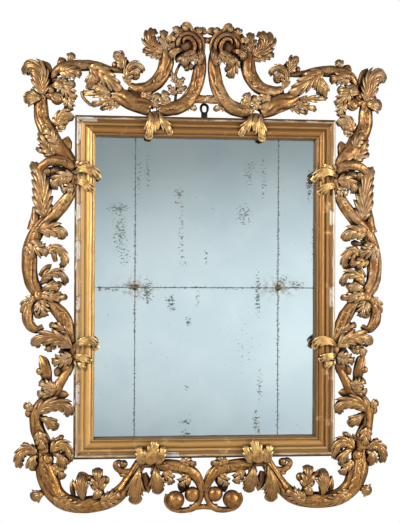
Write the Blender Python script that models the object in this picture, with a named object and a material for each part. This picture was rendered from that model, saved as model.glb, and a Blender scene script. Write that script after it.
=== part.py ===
"""Carved giltwood wall mirror: a mitred moulded frame round six old plates, with an openwork
surround of acanthus scrolls carved in four sections, hung from an iron eye on the back."""

import math

import bmesh
import bpy
import numpy as np

# Moulded frame, in metres
FRAME_W = 1.116
FRAME_H = 1.446
RAIL_FACE = 0.0865
RAIL_SIDE = 0.050
SIGHT_LIP = 0.010
MITRE_GAP = 0.0003
GAP = 0.0003

# Depth past a piece's face to which its holes and joints are cut
CUT_PAST = 0.01
JOINT_CUT_FRONT = 0.3
JOINT_CUT_BACK = 0.05

# Members of the moulding, from the outer edge inwards: share of the face, height at each side
# of the member above the rail's back, rise of its middle and number of facets
MEMBERS = (
    (0.20, 0.050, 0.057, 0.0040, 3),
    (0.18, 0.055, 0.053, -0.0040, 3),
    (0.11, 0.058, 0.058, 0.0, 1),
    (0.03, 0.050, 0.050, 0.0, 1),
    (0.31, 0.055, 0.060, 0.0065, 4),
    (0.03, 0.052, 0.052, 0.0, 1),
    (0.10, 0.056, 0.055, 0.0040, 3),
    (0.04, 0.047, 0.044, 0.0, 1),
)

# Mirror plates and the board behind them
GLASS_T = 0.004
GLASS_FRONT = 0.019
GLASS_EDGE_CLEAR = 0.002
SEAM_LEFT = 0.302
SEAM_RIGHT = 0.314
SEAM_Z = -0.002
PLATE_GAP = 0.0006
BOARD_T = 0.010
PIN_R = 0.003
PIN_CLEAR = 0.0005
PIN_IN_BOARD = 0.007
BUTTON_R = 0.015
BUTTON_RISE = 0.009
BUTTON_PETALS = 6

# Iron eye that the mirror hangs from
EYE_ABOVE_RAIL = 0.057
EYE_W = 0.018
EYE_H = 0.028
EYE_IRON = 0.011
EYE_T = 0.006
SHANK_W = 0.027
SHANK_LAP = 0.055
HANG_OFFSET = 0.007

# Carved surround: reach of the ornament beyond the frame and its depth, as shares of the
# size it is drawn at, how much closer the right half lies, how far the crest and the apron
# sit from the frame's centre line to hang plumb with the eye, how far a leaf's back stays off
# the wall, the carved solid's grain and the volume under which a cut-off chip is cleared away
ORNAMENT_REACH = 1.0
RIGHT_REACH = 0.95
CARVING_CENTRE = -HANG_OFFSET
ORNAMENT_RELIEF = 1.0
DRAWN_W = 1116.0
DRAWN_H = 1440.0
LEAF_FULLNESS = 1.22
LEAF_THICK = 0.017
STEM_DEPTH = 0.72
LEAST_OFF_WALL = 0.002
CARVING_GRAIN = 0.0055
OFFCUT = 1e-6

# How far to the right the hand-cut carving lies of its drawn place: all of the crest's top,
# the outer parts at the foot, and the middle of each side
CREST_LEAN = 0.007
FOOT_LEAN = 0.006
LEFT_SWAY = 0.004
RIGHT_SWAY = -0.005

# Drawn heights between which those moves grow to their full amount, and the distance beyond the
# frame's edge over which the last two do
LEANING_CREST = (740.0, 900.0)
LEANING_FOOT = (560.0, 720.0)
SWAYING_MIDDLE = (350.0, 750.0)
BESIDE_FRAME = 100.0

# Joints between the carved sections, as drawn: the arch of the crest ends at a side, the carving
# beyond a given distance out and height moves with that arch's foot, and the side's stem runs
# down between the leaves of the apron's corner
ARCH_START = 530.0
ARCH_END = 648.0
ARCH_FOOT = 866.0
ARCH_LAP = 6.0
FOLLOWS_ARCH_FROM = (380.0, 600.0)
CORNER_TOP = -650.0
CORNER_FOOT = -694.0
CORNER_STEM = (655.0, 720.0)
FAR = 1300.0

# Facets of each carved section
CREST_FACES = 2300
SIDE_FACES = 1760
APRON_FACES = 1680

BACK_Y = EYE_T / 2
FRAME_X = HANG_OFFSET
FRAME_Z = -(EYE_ABOVE_RAIL + FRAME_H / 2)
SIGHT_W = FRAME_W - 2 * RAIL_FACE
SIGHT_H = FRAME_H - 2 * RAIL_FACE

# Colour, roughness and metallic value of each material
GILDING = ("gilding", (0.42, 0.25, 0.09), 0.42, 0.75)
FRAME_GILDING = ("frame_gilding", (0.55, 0.33, 0.12), 0.40, 0.75)
MIRROR = ("mirror_plate", (0.55, 0.62, 0.64), 0.08, 1.0)
BRASS = ("brass", (0.45, 0.30, 0.12), 0.35, 1.0)
IRON = ("iron", (0.02, 0.02, 0.02), 0.6, 0.8)
PINE = ("pine", (0.30, 0.19, 0.10), 0.8, 0.0)

# Leaf forms: half width at the root, third, shoulder and tip as shares of the widest,
# depth of the notches, forward lean of the lobes, cupping and depth of the flutes
LEAF_FORMS = {
    "acanthus": ((0.60, 1.0, 0.90, 0.45), 0.30, 0.55, 0.10, 0.16),
    "fan": ((0.45, 0.88, 1.0, 0.70), 0.26, 0.45, 0.14, 0.18),
    "frond": ((0.60, 1.0, 0.80, 0.20), 0.40, 0.90, 0.05, 0.16),
    "tongue": ((0.70, 1.0, 0.92, 0.45), 0.0, 0.0, -0.20, 0.10),
}

# The carving is drawn for one half, in millimetres of the drawn frame: distance out from the
# centre line, height above the frame's centre and height above the wall. A stem gives its
# radii, a leaf its half width, lobes and form, a bud its radius and depth.
SIDE_HALF = (
    ("stem", ((700, 812, 34), (701, 750, 34), (697, 700, 34), (670, 645, 36), (636, 592, 38),
              (600, 552, 40), (572, 518, 44)), (22, 31, 32, 37, 36, 33, 26)),
    ("leaf", ((694, 795, 36), (706, 840, 46), (712, 885, 54), (728, 912, 56), (752, 918, 52),
              (768, 900, 44), (760, 882, 38)), 33, 5, "acanthus"),
    ("leaf", ((668, 850, 34), (675, 895, 42), (688, 928, 42), (705, 950, 34)), 15, 1, "tongue"),
    ("leaf", ((690, 795, 38), (725, 788, 50), (776, 794, 36)), 37, 3, "fan"),
    ("stem", ((662, 866, 34), (640, 862, 36), (606, 835, 38), (588, 790, 38), (592, 745, 36),
              (614, 704, 34), (642, 668, 34)), (12, 16, 18, 17, 16, 14, 14)),
    ("bud", (662, 828, 38), 24, 16),
    ("leaf", ((655, 858, 40), (615, 852, 50), (560, 850, 38)), 20, 2, "acanthus"),
    ("leaf", ((668, 838, 44), (636, 842, 58), (606, 850, 50)), 24, 2, "fan"),
    ("leaf", ((625, 850, 40), (595, 820, 52), (558, 784, 40)), 26, 3, "acanthus"),
    ("stem", ((690, 806, 36), (662, 800, 38), (634, 792, 42)), (16, 18, 20)),
    ("bud", (634, 790, 44), 29, 20),
    ("leaf", ((598, 800, 42), (584, 772, 50), (578, 736, 40)), 22, 3, "acanthus"),
    ("leaf", ((640, 668, 38), (622, 708, 48), (592, 720, 50), (568, 696, 42)), 22, 3, "acanthus"),
    ("leaf", ((640, 650, 40), (614, 668, 46), (596, 668, 38)), 15, 2, "acanthus"),
    ("bud", (606, 692, 44), 21, 16),
    ("leaf", ((596, 556, 44), (594, 600, 48), (586, 632, 40)), 19, 1, "tongue"),
    ("leaf", ((645, 540, 42), (678, 592, 46), (708, 652, 34)), 28, 4, "frond"),
    ("leaf", ((640, 545, 40), (684, 560, 42), (724, 582, 30)), 15, 2, "frond"),
    ("leaf", ((640, 600, 54), (668, 640, 60), (696, 656, 50)), 22, 2, "acanthus"),
    ("stem", ((560, 500, 52), (610, 524, 60), (665, 522, 58), (706, 494, 50), (722, 450, 40)),
     (22, 22, 20, 17, 14)),
    ("leaf", ((558, 478, 32), (620, 486, 36), (694, 474, 32)), 30, 2, "fan"),
    ("leaf", ((562, 455, 54), (605, 458, 62), (640, 435, 56), (654, 406, 44)), 27, 3, "acanthus"),
    ("leaf", ((706, 500, 48), (680, 482, 56), (668, 458, 46)), 15, 1, "tongue"),
    ("leaf", ((562, 420, 52), (590, 412, 60), (616, 398, 50)), 22, 2, "acanthus"),
    ("leaf", ((682, 280, 34), (694, 345, 42), (698, 410, 44), (710, 470, 40), (742, 526, 28)),
     36, 5, "frond"),
    ("stem", ((724, 335, 32), (726, 290, 34), (738, 236, 32)), (13, 20, 24)),
    ("stem", ((568, 405, 46), (605, 350, 42), (655, 296, 38), (710, 240, 34), (742, 170, 32),
              (749, 90, 32), (740, 20, 32), (708, -30, 36)), (22, 27, 29, 30, 32, 33, 31, 28)),
    ("leaf", ((712, 234, 44), (665, 240, 56), (620, 232, 56), (604, 198, 42)), 28, 2, "acanthus"),
    ("leaf", ((748, 190, 42), (715, 160, 54), (666, 142, 46)), 30, 3, "acanthus"),
    ("leaf", ((752, 178, 44), (746, 146, 52), (728, 116, 44)), 18, 2, "acanthus"),
    ("leaf", ((682, 135, 44), (644, 163, 54), (609, 142, 56), (599, 108, 50), (620, 78, 42)),
     17, 4, "acanthus"),
    ("stem", ((655, 160, 48), (646, 132, 50), (640, 106, 44)), (11, 12, 10)),
    ("leaf", ((704, 20, 42), (662, 54, 54), (620, 56, 56), (599, 32, 46), (599, 4, 34)),
     19, 2, "acanthus"),
    ("leaf", ((704, 6, 38), (678, 28, 46), (648, 34, 40)), 20, 2, "fan"),
    ("leaf", ((706, 44, 38), (680, 74, 44), (656, 94, 36)), 11, 1, "tongue"),
    ("leaf", ((706, -22, 44), (660, 2, 58), (610, 12, 46)), 22, 3, "fan"),
    ("bud", (642, -4, 50), 22, 16),
    ("leaf", ((704, -32, 46), (648, -40, 56), (584, -44, 38)), 22, 3, "frond"),
    ("bud", (704, -38, 42), 29, 22),
    ("leaf", ((718, -50, 38), (754, -60, 46), (772, -86, 40), (772, -116, 28)), 17, 2, "acanthus"),
    ("stem", ((722, -42, 36), (752, -95, 38), (750, -148, 38), (720, -179, 36), (690, -166, 34)),
     (22, 24, 24, 18, 11)),
    ("stem", ((694, -38, 40), (646, -80, 42), (604, -130, 44), (580, -185, 46), (564, -236, 50)),
     (22, 27, 31, 28, 20)),
    ("leaf", ((706, -56, 46), (692, -92, 58), (684, -128, 44)), 29, 3, "acanthus"),
    ("bud", (708, -112, 40), 22, 16),
    ("leaf", ((568, -205, 50), (606, -176, 54), (666, -156, 38)), 25, 3, "frond"),
    ("leaf", ((560, -256, 56), (615, -220, 64), (675, -210, 58), (718, -228, 48), (714, -258, 36)),
     28, 3, "acanthus"),
    ("leaf", ((640, -225, 44), (662, -248, 46), (670, -272, 36)), 23, 2, "acanthus"),
    ("leaf", ((562, -290, 54), (602, -302, 62), (654, -318, 46)), 28, 3, "acanthus"),
    ("leaf", ((566, -272, 42), (600, -266, 40), (626, -276, 32)), 11, 1, "tongue"),
    ("leaf", ((592, -350, 38), (618, -352, 40), (640, -374, 34)), 18, 1, "tongue"),
    ("bud", (592, -334, 46), 20, 18),
    ("stem", ((562, -314, 48), (589, -362, 44), (620, -408, 40), (644, -448, 38), (690, -488, 36),
              (714, -530, 34), (710, -590, 34), (691, -640, 36), (682, -692, 36)),
     (15, 17, 22, 28, 28, 28, 30, 34, 33)),
    ("leaf", ((668, -410, 38), (680, -345, 46), (688, -312, 44), (703, -286, 34)), 20, 1, "tongue"),
    ("bud", (703, -353, 38), 16, 12),
    ("leaf", ((636, -428, 44), (675, -410, 54), (706, -396, 42)), 23, 3, "acanthus"),
    ("leaf", ((645, -458, 42), (685, -444, 52), (714, -450, 40)), 20, 2, "acanthus"),
    ("leaf", ((714, -532, 42), (668, -493, 58), (614, -489, 60), (577, -508, 52), (584, -546, 38)),
     26, 3, "acanthus"),
    ("leaf", ((655, -460, 46), (612, -452, 48), (577, -451, 38)), 16, 1, "tongue"),
    ("leaf", ((714, -515, 36), (742, -502, 42), (769, -494, 36)), 21, 2, "fan"),
    ("bud", (745, -527, 34), 18, 13),
    ("leaf", ((704, -540, 46), (664, -558, 56), (624, -594, 44)), 29, 3, "fan"),
    ("leaf", ((704, -596, 54), (694, -640, 58), (690, -684, 46)), 24, 2, "acanthus"),
    ("leaf", ((672, -652, 38), (632, -640, 42), (598, -622, 32)), 14, 2, "acanthus"),
    ("stem", ((561, 520, 44), (562, 450, 54), (561, 388, 44)), (14, 17, 13)),
    ("stem", ((561, -212, 44), (562, -260, 54), (561, -330, 44)), (14, 17, 13)),
    ("leaf", ((566, 470, 64), (522, 494, 84), (484, 486, 92), (454, 452, 80)), 22, 3, "acanthus"),
    ("leaf", ((566, 432, 62), (518, 426, 84), (478, 394, 76)), 24, 3, "acanthus"),
    ("leaf", ((562, 498, 58), (530, 514, 78), (492, 512, 74)), 15, 2, "acanthus"),
    ("leaf", ((566, -252, 64), (522, -226, 84), (484, -226, 92), (460, -262, 80)),
     22, 3, "acanthus"),
    ("leaf", ((566, -285, 62), (520, -294, 84), (484, -314, 76)), 24, 3, "acanthus"),
    ("leaf", ((560, -300, 56), (530, -322, 76), (506, -336, 72)), 15, 2, "acanthus"),
)

APRON_HALF = (
    ("stem", ((683, -688, 36), (677, -742, 38), (661, -800, 40), (634, -858, 40), (582, -898, 40),
              (510, -910, 40), (440, -904, 40), (385, -888, 40), (338, -848, 40), (300, -792, 42),
              (268, -740, 46)), (28, 40, 46, 40, 37, 36, 36, 34, 31, 28, 26)),
    ("leaf", ((668, -852, 38), (700, -866, 48), (733, -882, 36)), 30, 3, "fan"),
    ("leaf", ((505, -905, 50), (514, -858, 60), (515, -808, 58), (498, -776, 42)), 36, 2, "fan"),
    ("leaf", ((545, -885, 44), (554, -840, 44), (552, -808, 34)), 9, 1, "tongue"),
    ("bud", (480, -800, 44), 15, 12),
    ("leaf", ((440, -860, 46), (448, -802, 54), (449, -756, 40)), 28, 2, "acanthus"),
    ("bud", (418, -810, 40), 20, 14),
    ("stem", ((440, -860, 44), (424, -830, 42), (416, -812, 40)), (12, 12, 12)),
    ("leaf", ((470, -890, 56), (448, -862, 64), (420, -852, 54)), 24, 2, "fan"),
    ("leaf", ((440, -900, 58), (396, -884, 64), (348, -856, 50)), 28, 3, "acanthus"),
    ("leaf", ((640, -868, 52), (570, -902, 62), (500, -917, 54)), 24, 4, "frond"),
    ("stem", ((284, -768, 42), (330, -776, 42), (364, -764, 40), (374, -744, 38), (360, -733, 36),
              (342, -740, 36), (340, -752, 36)), (14, 14, 13, 11, 9, 8, 8)),
    ("bud", (340, -744, 36), 18, 14),
    ("leaf", ((300, -775, 40), (330, -790, 46), (360, -782, 36)), 12, 2, "acanthus"),
    ("leaf", ((268, -735, 56), (282, -790, 68), (292, -850, 62), (288, -914, 44)), 42, 3, "fan"),
    ("leaf", ((256, -780, 54), (242, -830, 60), (234, -866, 46)), 17, 1, "tongue"),
    ("leaf", ((210, -738, 56), (206, -790, 68), (190, -872, 46)), 38, 3, "fan"),
    ("leaf", ((168, -765, 46), (148, -802, 52), (135, -834, 40)), 23, 2, "acanthus"),
    ("stem", ((290, -740, 44), (240, -742, 50), (190, -746, 46)), (17, 18, 18)),
    ("stem", ((215, -746, 46), (160, -752, 46), (104, -760, 44), (48, -783, 44), (19, -822, 44),
              (10, -862, 42)), (24, 28, 28, 27, 21, 16)),
    ("leaf", ((112, -742, 44), (68, -738, 50), (30, -752, 40)), 17, 2, "acanthus"),
    ("leaf", ((62, -796, 46), (85, -815, 54), (98, -844, 42)), 25, 2, "acanthus"),
    ("stem", ((10, -850, 42), (18, -898, 42), (42, -932, 40), (86, -943, 40), (132, -935, 40),
              (158, -906, 40), (153, -874, 40)), (15, 14, 14, 13, 12, 11, 11)),
    ("bud", (120, -897, 44), 39, 34),
    ("bud", (49, -875, 42), 33, 26),
    ("stem", ((60, -930, 38), (30, -930, 38), (0, -929, 38)), (12, 13, 11)),
    ("leaf", ((60, -796, 32), (82, -834, 36), (92, -872, 32)), 20, 1, "tongue"),
    ("leaf", ((703, -702, 44), (742, -674, 52), (772, -692, 52), (782, -728, 46), (774, -756, 38)),
     22, 4, "acanthus"),
    ("leaf", ((715, -690, 40), (746, -662, 46), (772, -662, 36)), 16, 2, "acanthus"),
    ("leaf", ((696, -700, 52), (722, -708, 64), (728, -738, 58), (712, -764, 46)), 27, 3, "fan"),
    ("leaf", ((652, -696, 44), (620, -662, 52), (584, -664, 54), (571, -700, 52), (570, -738, 40)),
     23, 3, "acanthus"),
    ("leaf", ((648, -694, 52), (614, -700, 64), (597, -728, 62), (597, -766, 48)), 27, 3, "fan"),
    ("leaf", ((646, -735, 46), (612, -770, 54), (590, -802, 42)), 22, 2, "acanthus"),
    ("bud", (660, -716, 52), 24, 20),
    ("leaf", ((232, -745, 62), (226, -702, 82), (214, -662, 88), (205, -640, 78)),
     22, 3, "acanthus"),
    ("leaf", ((262, -742, 60), (268, -702, 80), (282, -662, 78)), 20, 3, "acanthus"),
    ("leaf", ((208, -742, 60), (186, -702, 80), (170, -666, 78)), 18, 3, "acanthus"),
)

CREST_HALF = (
    ("stem", ((652, 872, 34), (646, 894, 36), (612, 918, 40), (555, 930, 40), (480, 930, 38),
              (410, 918, 36), (352, 914, 34)), (15, 18, 25, 26, 22, 14, 12)),
    ("leaf", ((360, 914, 36), (362, 945, 44), (376, 978, 42), (402, 974, 32)), 22, 3, "acanthus"),
    ("leaf", ((352, 918, 36), (343, 945, 38), (344, 968, 30)), 11, 1, "tongue"),
    ("bud", (393, 938, 36), 13, 10),
    ("leaf", ((582, 935, 40), (580, 960, 46), (566, 984, 36)), 21, 2, "fan"),
    ("leaf", ((612, 920, 40), (616, 948, 44), (625, 966, 34)), 17, 1, "tongue"),
    ("leaf", ((628, 900, 46), (575, 900, 58), (530, 892, 46)), 27, 3, "acanthus"),
    ("leaf", ((488, 930, 44), (487, 880, 56), (497, 826, 42)), 28, 3, "fan"),
    ("leaf", ((505, 928, 46), (450, 897, 56), (405, 858, 56), (352, 816, 44)), 31, 4, "frond"),
    ("leaf", ((385, 806, 38), (440, 808, 46), (484, 812, 42), (533, 820, 28)), 14, 3, "acanthus"),
    ("leaf", ((380, 792, 38), (430, 778, 46), (488, 766, 30)), 16, 3, "acanthus"),
    ("leaf", ((350, 780, 38), (400, 760, 42), (448, 750, 30)), 13, 3, "acanthus"),
    ("stem", ((396, 814, 38), (338, 794, 42), (282, 770, 44), (235, 750, 48)), (28, 38, 38, 32)),
    ("stem", ((330, 848, 38), (295, 836, 42), (250, 842, 44), (212, 868, 44), (185, 910, 42),
              (174, 960, 40), (178, 1005, 40)), (18, 26, 29, 31, 32, 33, 26)),
    ("leaf", ((284, 806, 48), (244, 806, 54), (206, 796, 46)), 18, 2, "acanthus"),
    ("leaf", ((228, 752, 48), (214, 786, 54), (204, 822, 46)), 17, 2, "acanthus"),
    ("stem", ((320, 842, 38), (338, 880, 38), (335, 918, 40), (308, 938, 42), (279, 927, 40),
              (272, 906, 34)), (15, 14, 13, 13, 12, 10)),
    ("bud", (304, 893, 42), 25, 22),
    ("stem", ((208, 746, 46), (160, 752, 46), (112, 766, 46), (74, 798, 46), (47, 850, 44),
              (34, 905, 44), (28, 950, 42), (32, 1000, 42)), (26, 30, 32, 31, 30, 29, 26, 22)),
    ("leaf", ((188, 980, 42), (232, 986, 50), (276, 1008, 34)), 17, 3, "acanthus"),
    ("leaf", ((190, 990, 46), (236, 1018, 58), (248, 1056, 56), (220, 1094, 42)),
     28, 4, "acanthus"),
    ("leaf", ((180, 995, 46), (187, 1048, 54), (184, 1092, 40)), 22, 2, "acanthus"),
    ("stem", ((36, 960, 44), (26, 1010, 50), (42, 1060, 56), (88, 1088, 58), (132, 1070, 56),
              (146, 1030, 52), (128, 990, 54), (90, 982, 60), (62, 1006, 64), (70, 1040, 66),
              (98, 1044, 66)), (16, 16, 17, 18, 18, 17, 15, 14, 13, 12, 10)),
    ("bud", (90, 1028, 34), 60, 22),
    ("bud", (92, 1020, 56), 16, 14),
    ("leaf", ((122, 1062, 52), (136, 1090, 56), (122, 1108, 44)), 16, 2, "acanthus"),
    ("leaf", ((84, 1078, 56), (98, 1106, 56), (74, 1108, 44)), 15, 2, "acanthus"),
    ("leaf", ((50, 1062, 50), (40, 1088, 52), (54, 1104, 42)), 14, 2, "acanthus"),
    ("leaf", ((56, 985, 52), (92, 955, 60), (138, 958, 46)), 24, 3, "fan"),
    ("leaf", ((104, 968, 46), (94, 940, 50), (80, 918, 38)), 15, 2, "acanthus"),
    ("leaf", ((140, 995, 50), (162, 1030, 56), (154, 1066, 46)), 17, 2, "acanthus"),
    ("leaf", ((48, 1072, 42), (22, 1092, 46), (0, 1082, 40)), 15, 1, "tongue"),
    ("stem", ((44, 1052, 40), (20, 1052, 40), (0, 1050, 40)), (13, 14, 14)),
    ("leaf", ((156, 762, 44), (182, 798, 54), (166, 830, 42)), 23, 2, "acanthus"),
    ("stem", ((76, 798, 42), (34, 799, 42), (0, 799, 42)), (17, 19, 17)),
    ("leaf", ((96, 776, 42), (64, 764, 46), (34, 758, 36)), 15, 2, "acanthus"),
    ("leaf", ((240, 748, 62), (232, 702, 82), (238, 655, 86), (246, 620, 76)), 24, 3, "acanthus"),
    ("leaf", ((202, 748, 62), (186, 702, 82), (162, 668, 84), (144, 642, 76)), 20, 3, "acanthus"),
    ("leaf", ((220, 742, 60), (211, 700, 80), (206, 662, 78)), 13, 1, "tongue"),
)

# Leaves that fill hollows of the right side only
SIDE_RIGHT = (
    ("leaf", ((728, 128, 28), (672, 108, 34), (612, 102, 28)), 27, 2, "acanthus"),
    ("leaf", ((722, 196, 30), (684, 188, 36), (640, 194, 30)), 15, 2, "acanthus"),
    ("leaf", ((628, -258, 34), (676, -262, 38), (712, -292, 30)), 23, 2, "acanthus"),
)

# The sprig and the tendril in the left half of the crest, which the right half has lost
CREST_LEFT = (
    ("stem", ((130, 790, 36), (128, 850, 38), (134, 900, 38), (116, 948, 40)), (9, 9, 9, 8)),
    ("leaf", ((130, 815, 40), (150, 840, 44), (160, 860, 34)), 12, 1, "tongue"),
    ("leaf", ((128, 848, 42), (110, 872, 44), (98, 886, 34)), 13, 1, "tongue"),
    ("leaf", ((130, 870, 42), (150, 895, 44), (160, 920, 36)), 12, 1, "tongue"),
    ("leaf", ((126, 825, 40), (104, 846, 44), (84, 862, 34)), 11, 1, "tongue"),
    ("stem", ((528, 818, 34), (518, 794, 34), (484, 764, 34)), (7, 7, 7)),
    ("leaf", ((400, 820, 40), (450, 838, 48), (504, 846, 36)), 20, 3, "acanthus"),
    ("leaf", ((94, 968, 46), (76, 946, 50), (62, 924, 38)), 15, 2, "acanthus"),
)

# The larger leaves of the crest's right half
CREST_RIGHT = (
    ("leaf", ((196, 982, 42), (246, 990, 48), (292, 1004, 34)), 21, 3, "acanthus"),
    ("leaf", ((206, 1008, 44), (256, 1028, 52), (270, 1060, 48), (250, 1092, 38)),
     25, 3, "acanthus"),
    ("leaf", ((112, 996, 46), (112, 946, 54), (96, 890, 40)), 25, 3, "acanthus"),
    ("leaf", ((490, 912, 42), (506, 862, 50), (512, 818, 38)), 25, 3, "fan"),
)

# Drawn height of the joint under the crest's arch, a lap below the arch's own foot
ARCH_DRAWN = CREST_HALF[0][1][0][1] - ARCH_LAP


def clear_scene():
    for item in list(bpy.data.objects):
        bpy.data.objects.remove(item, do_unlink=True)


def material(look):
    name, colour, roughness, metallic = look
    found = bpy.data.materials.get(name)
    if found:
        return found
    made = bpy.data.materials.new(name)
    made.use_nodes = True
    shader = made.node_tree.nodes["Principled BSDF"]
    shader.inputs["Base Color"].default_value = (*colour, 1.0)
    shader.inputs["Roughness"].default_value = roughness
    shader.inputs["Metallic"].default_value = metallic
    return made


def new_object(name, points, faces, look=None):
    mesh = bpy.data.meshes.new(name)
    mesh.from_pydata([tuple(point) for point in points], [], [tuple(face) for face in faces])
    mesh.validate()
    made = bpy.data.objects.new(name, mesh)
    bpy.context.scene.collection.objects.link(made)
    if look:
        mesh.materials.append(material(look))
    return made


def as_cutter(item):
    item.hide_render = True
    item.display_type = "WIRE"
    return item


def boolean(item, other, operation):
    step = item.modifiers.new(f"{operation.lower()}_{other.name}", "BOOLEAN")
    step.operation = operation
    step.solver = "EXACT"
    step.object = other


def settle(item):
    """Replaces the object's mesh with the one that its modifiers make."""
    graph = bpy.context.evaluated_depsgraph_get()
    mesh = bpy.data.meshes.new_from_object(item.evaluated_get(graph))
    item.modifiers.clear()
    old = item.data
    item.data = mesh
    bpy.data.meshes.remove(old)


def face_out(item):
    mesh = bmesh.new()
    mesh.from_mesh(item.data)
    bmesh.ops.recalc_face_normals(mesh, faces=mesh.faces)
    mesh.to_mesh(item.data)
    mesh.free()


def box(name, low, high, look=None):
    corners = [(x, y, z) for x in (low[0], high[0]) for y in (low[1], high[1])
               for z in (low[2], high[2])]
    faces = ((0, 1, 3, 2), (4, 6, 7, 5), (0, 4, 5, 1), (2, 3, 7, 6), (0, 2, 6, 4), (1, 5, 7, 3))
    return new_object(name, corners, faces, look)


def cylinder_faces(sides, rings):
    """Faces of a tube of closed rings with a flat cap at each end."""
    faces = [tuple(range(sides))[::-1]]
    for ring in range(rings - 1):
        for side in range(sides):
            a = ring * sides + side
            b = ring * sides + (side + 1) % sides
            faces.append((a, b, b + sides, a + sides))
    faces.append(tuple(range((rings - 1) * sides, rings * sides)))
    return faces


def wall_height(height):
    """The row's Y of a point that stands this far off the wall."""
    return BACK_Y - height


# Moulded frame


def rail_section(grow=0.0):
    """The rail's section as (distance in from the outer edge, height above the back)."""
    points = [(0.0, 0.0)]
    inward = 0.0
    for share, start, end, rise, facets in MEMBERS:
        width = share * RAIL_FACE
        steps = round(facets)
        for step in range(steps + 1):
            part = step / steps
            height = start + (end - start) * part + rise * math.sin(math.pi * part)
            height += RAIL_SIDE - MEMBERS[0][1]
            points.append((inward + width * part, height))
        inward += width
    lip_back = GLASS_FRONT + GAP
    points += [(RAIL_FACE, lip_back), (RAIL_FACE - SIGHT_LIP, lip_back)]
    points += [(RAIL_FACE - SIGHT_LIP, 0.0)]
    if grow:
        points = grown(points, grow)
    return points


def grown(points, by):
    """A closed outline moved outwards by a small distance."""
    keys = np.array(points)
    before = keys - np.roll(keys, 1, axis=0)
    after = np.roll(keys, -1, axis=0) - keys
    along = before / np.linalg.norm(before, axis=1)[:, None]
    along += after / np.linalg.norm(after, axis=1)[:, None]
    along /= np.maximum(np.linalg.norm(along, axis=1), 1e-9)[:, None]
    outward = np.stack([-along[:, 1], along[:, 0]], axis=1)
    return [tuple(point) for point in keys + outward * by * 1.25]


def frame_corner(side_x, side_z, inward, height):
    return (
        FRAME_X + side_x * (FRAME_W / 2 - inward),
        wall_height(height),
        FRAME_Z + side_z * (FRAME_H / 2 - inward),
    )


def rail(name, start, end):
    """One mitred rail between two corners, each given by the signs of its X and Z."""
    points = []
    for (side_x, side_z), other in ((start, end), (end, start)):
        shift_x = (other[0] - side_x) / 2 * MITRE_GAP
        shift_z = (other[1] - side_z) / 2 * MITRE_GAP
        for inward, height in rail_section():
            x, y, z = frame_corner(side_x, side_z, inward, height)
            points.append((x + shift_x, y, z + shift_z))
    made = new_object(name, points, cylinder_faces(len(rail_section()), 2), FRAME_GILDING)
    face_out(made)
    return made


def make_rails():
    rails = {
        "rail_top": rail("rail_top", (-1, 1), (1, 1)),
        "rail_bottom": rail("rail_bottom", (1, -1), (-1, -1)),
        "rail_left": rail("rail_left", (-1, -1), (-1, 1)),
        "rail_right": rail("rail_right", (1, 1), (1, -1)),
    }
    return rails


def frame_envelope():
    """The four rails as one closed ring, grown by the fitting gap."""
    section = rail_section(GAP)
    count = len(section)
    points = []
    for side_x, side_z in ((-1, -1), (-1, 1), (1, 1), (1, -1)):
        points += [frame_corner(side_x, side_z, *place) for place in section]
    faces = []
    for ring in range(4):
        for side in range(count):
            a = ring * count + side
            b = ring * count + (side + 1) % count
            c = (ring + 1) % 4 * count + (side + 1) % count
            d = (ring + 1) % 4 * count + side
            faces.append((a, b, c, d))
    made = new_object("frame_envelope", points, faces)
    face_out(made)
    return as_cutter(made)


# Plates, board and buttons


def pin_places():
    return [(FRAME_X + x, FRAME_Z + SEAM_Z) for x in (-SEAM_LEFT, SEAM_RIGHT)]


def pin_shape(name, x, z, radius, low, high, sides=12):
    points = []
    for height in (low, high):
        for step in range(sides):
            angle = 2 * math.pi * step / sides
            points.append((x + radius * math.cos(angle), wall_height(height),
                           z + radius * math.sin(angle)))
    made = new_object(name, points, cylinder_faces(sides, 2))
    face_out(made)
    return made


def pin_cutters():
    back = GLASS_FRONT - GLASS_T - GAP - PIN_IN_BOARD - GAP
    cutters = []
    for number, (x, z) in enumerate(pin_places()):
        made = pin_shape(f"pin_hole_{number}", x, z, PIN_R + PIN_CLEAR, back, GLASS_FRONT + CUT_PAST)
        cutters.append(as_cutter(made))
    return cutters


def make_plates(cutters):
    half_w = SIGHT_W / 2 + SIGHT_LIP - GLASS_EDGE_CLEAR
    half_h = SIGHT_H / 2 + SIGHT_LIP - GLASS_EDGE_CLEAR
    columns = {
        "left": (-half_w, -SEAM_LEFT - PLATE_GAP / 2),
        "middle": (-SEAM_LEFT + PLATE_GAP / 2, SEAM_RIGHT - PLATE_GAP / 2),
        "right": (SEAM_RIGHT + PLATE_GAP / 2, half_w),
    }
    rows = {
        "top": (SEAM_Z + PLATE_GAP / 2, half_h),
        "bottom": (-half_h, SEAM_Z - PLATE_GAP / 2),
    }
    for row, (z_low, z_high) in rows.items():
        for column, (x_low, x_high) in columns.items():
            low = (FRAME_X + x_low, wall_height(GLASS_FRONT), FRAME_Z + z_low)
            high = (FRAME_X + x_high, wall_height(GLASS_FRONT - GLASS_T), FRAME_Z + z_high)
            plate = box(f"plate_{row}_{column}", low, high, MIRROR)
            face_out(plate)
            for cutter in cutters:
                beside = abs(cutter.data.vertices[0].co.x - (low[0] + high[0]) / 2)
                if beside < (high[0] - low[0]) / 2 + 2 * BUTTON_R:
                    boolean(plate, cutter, "DIFFERENCE")


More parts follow.
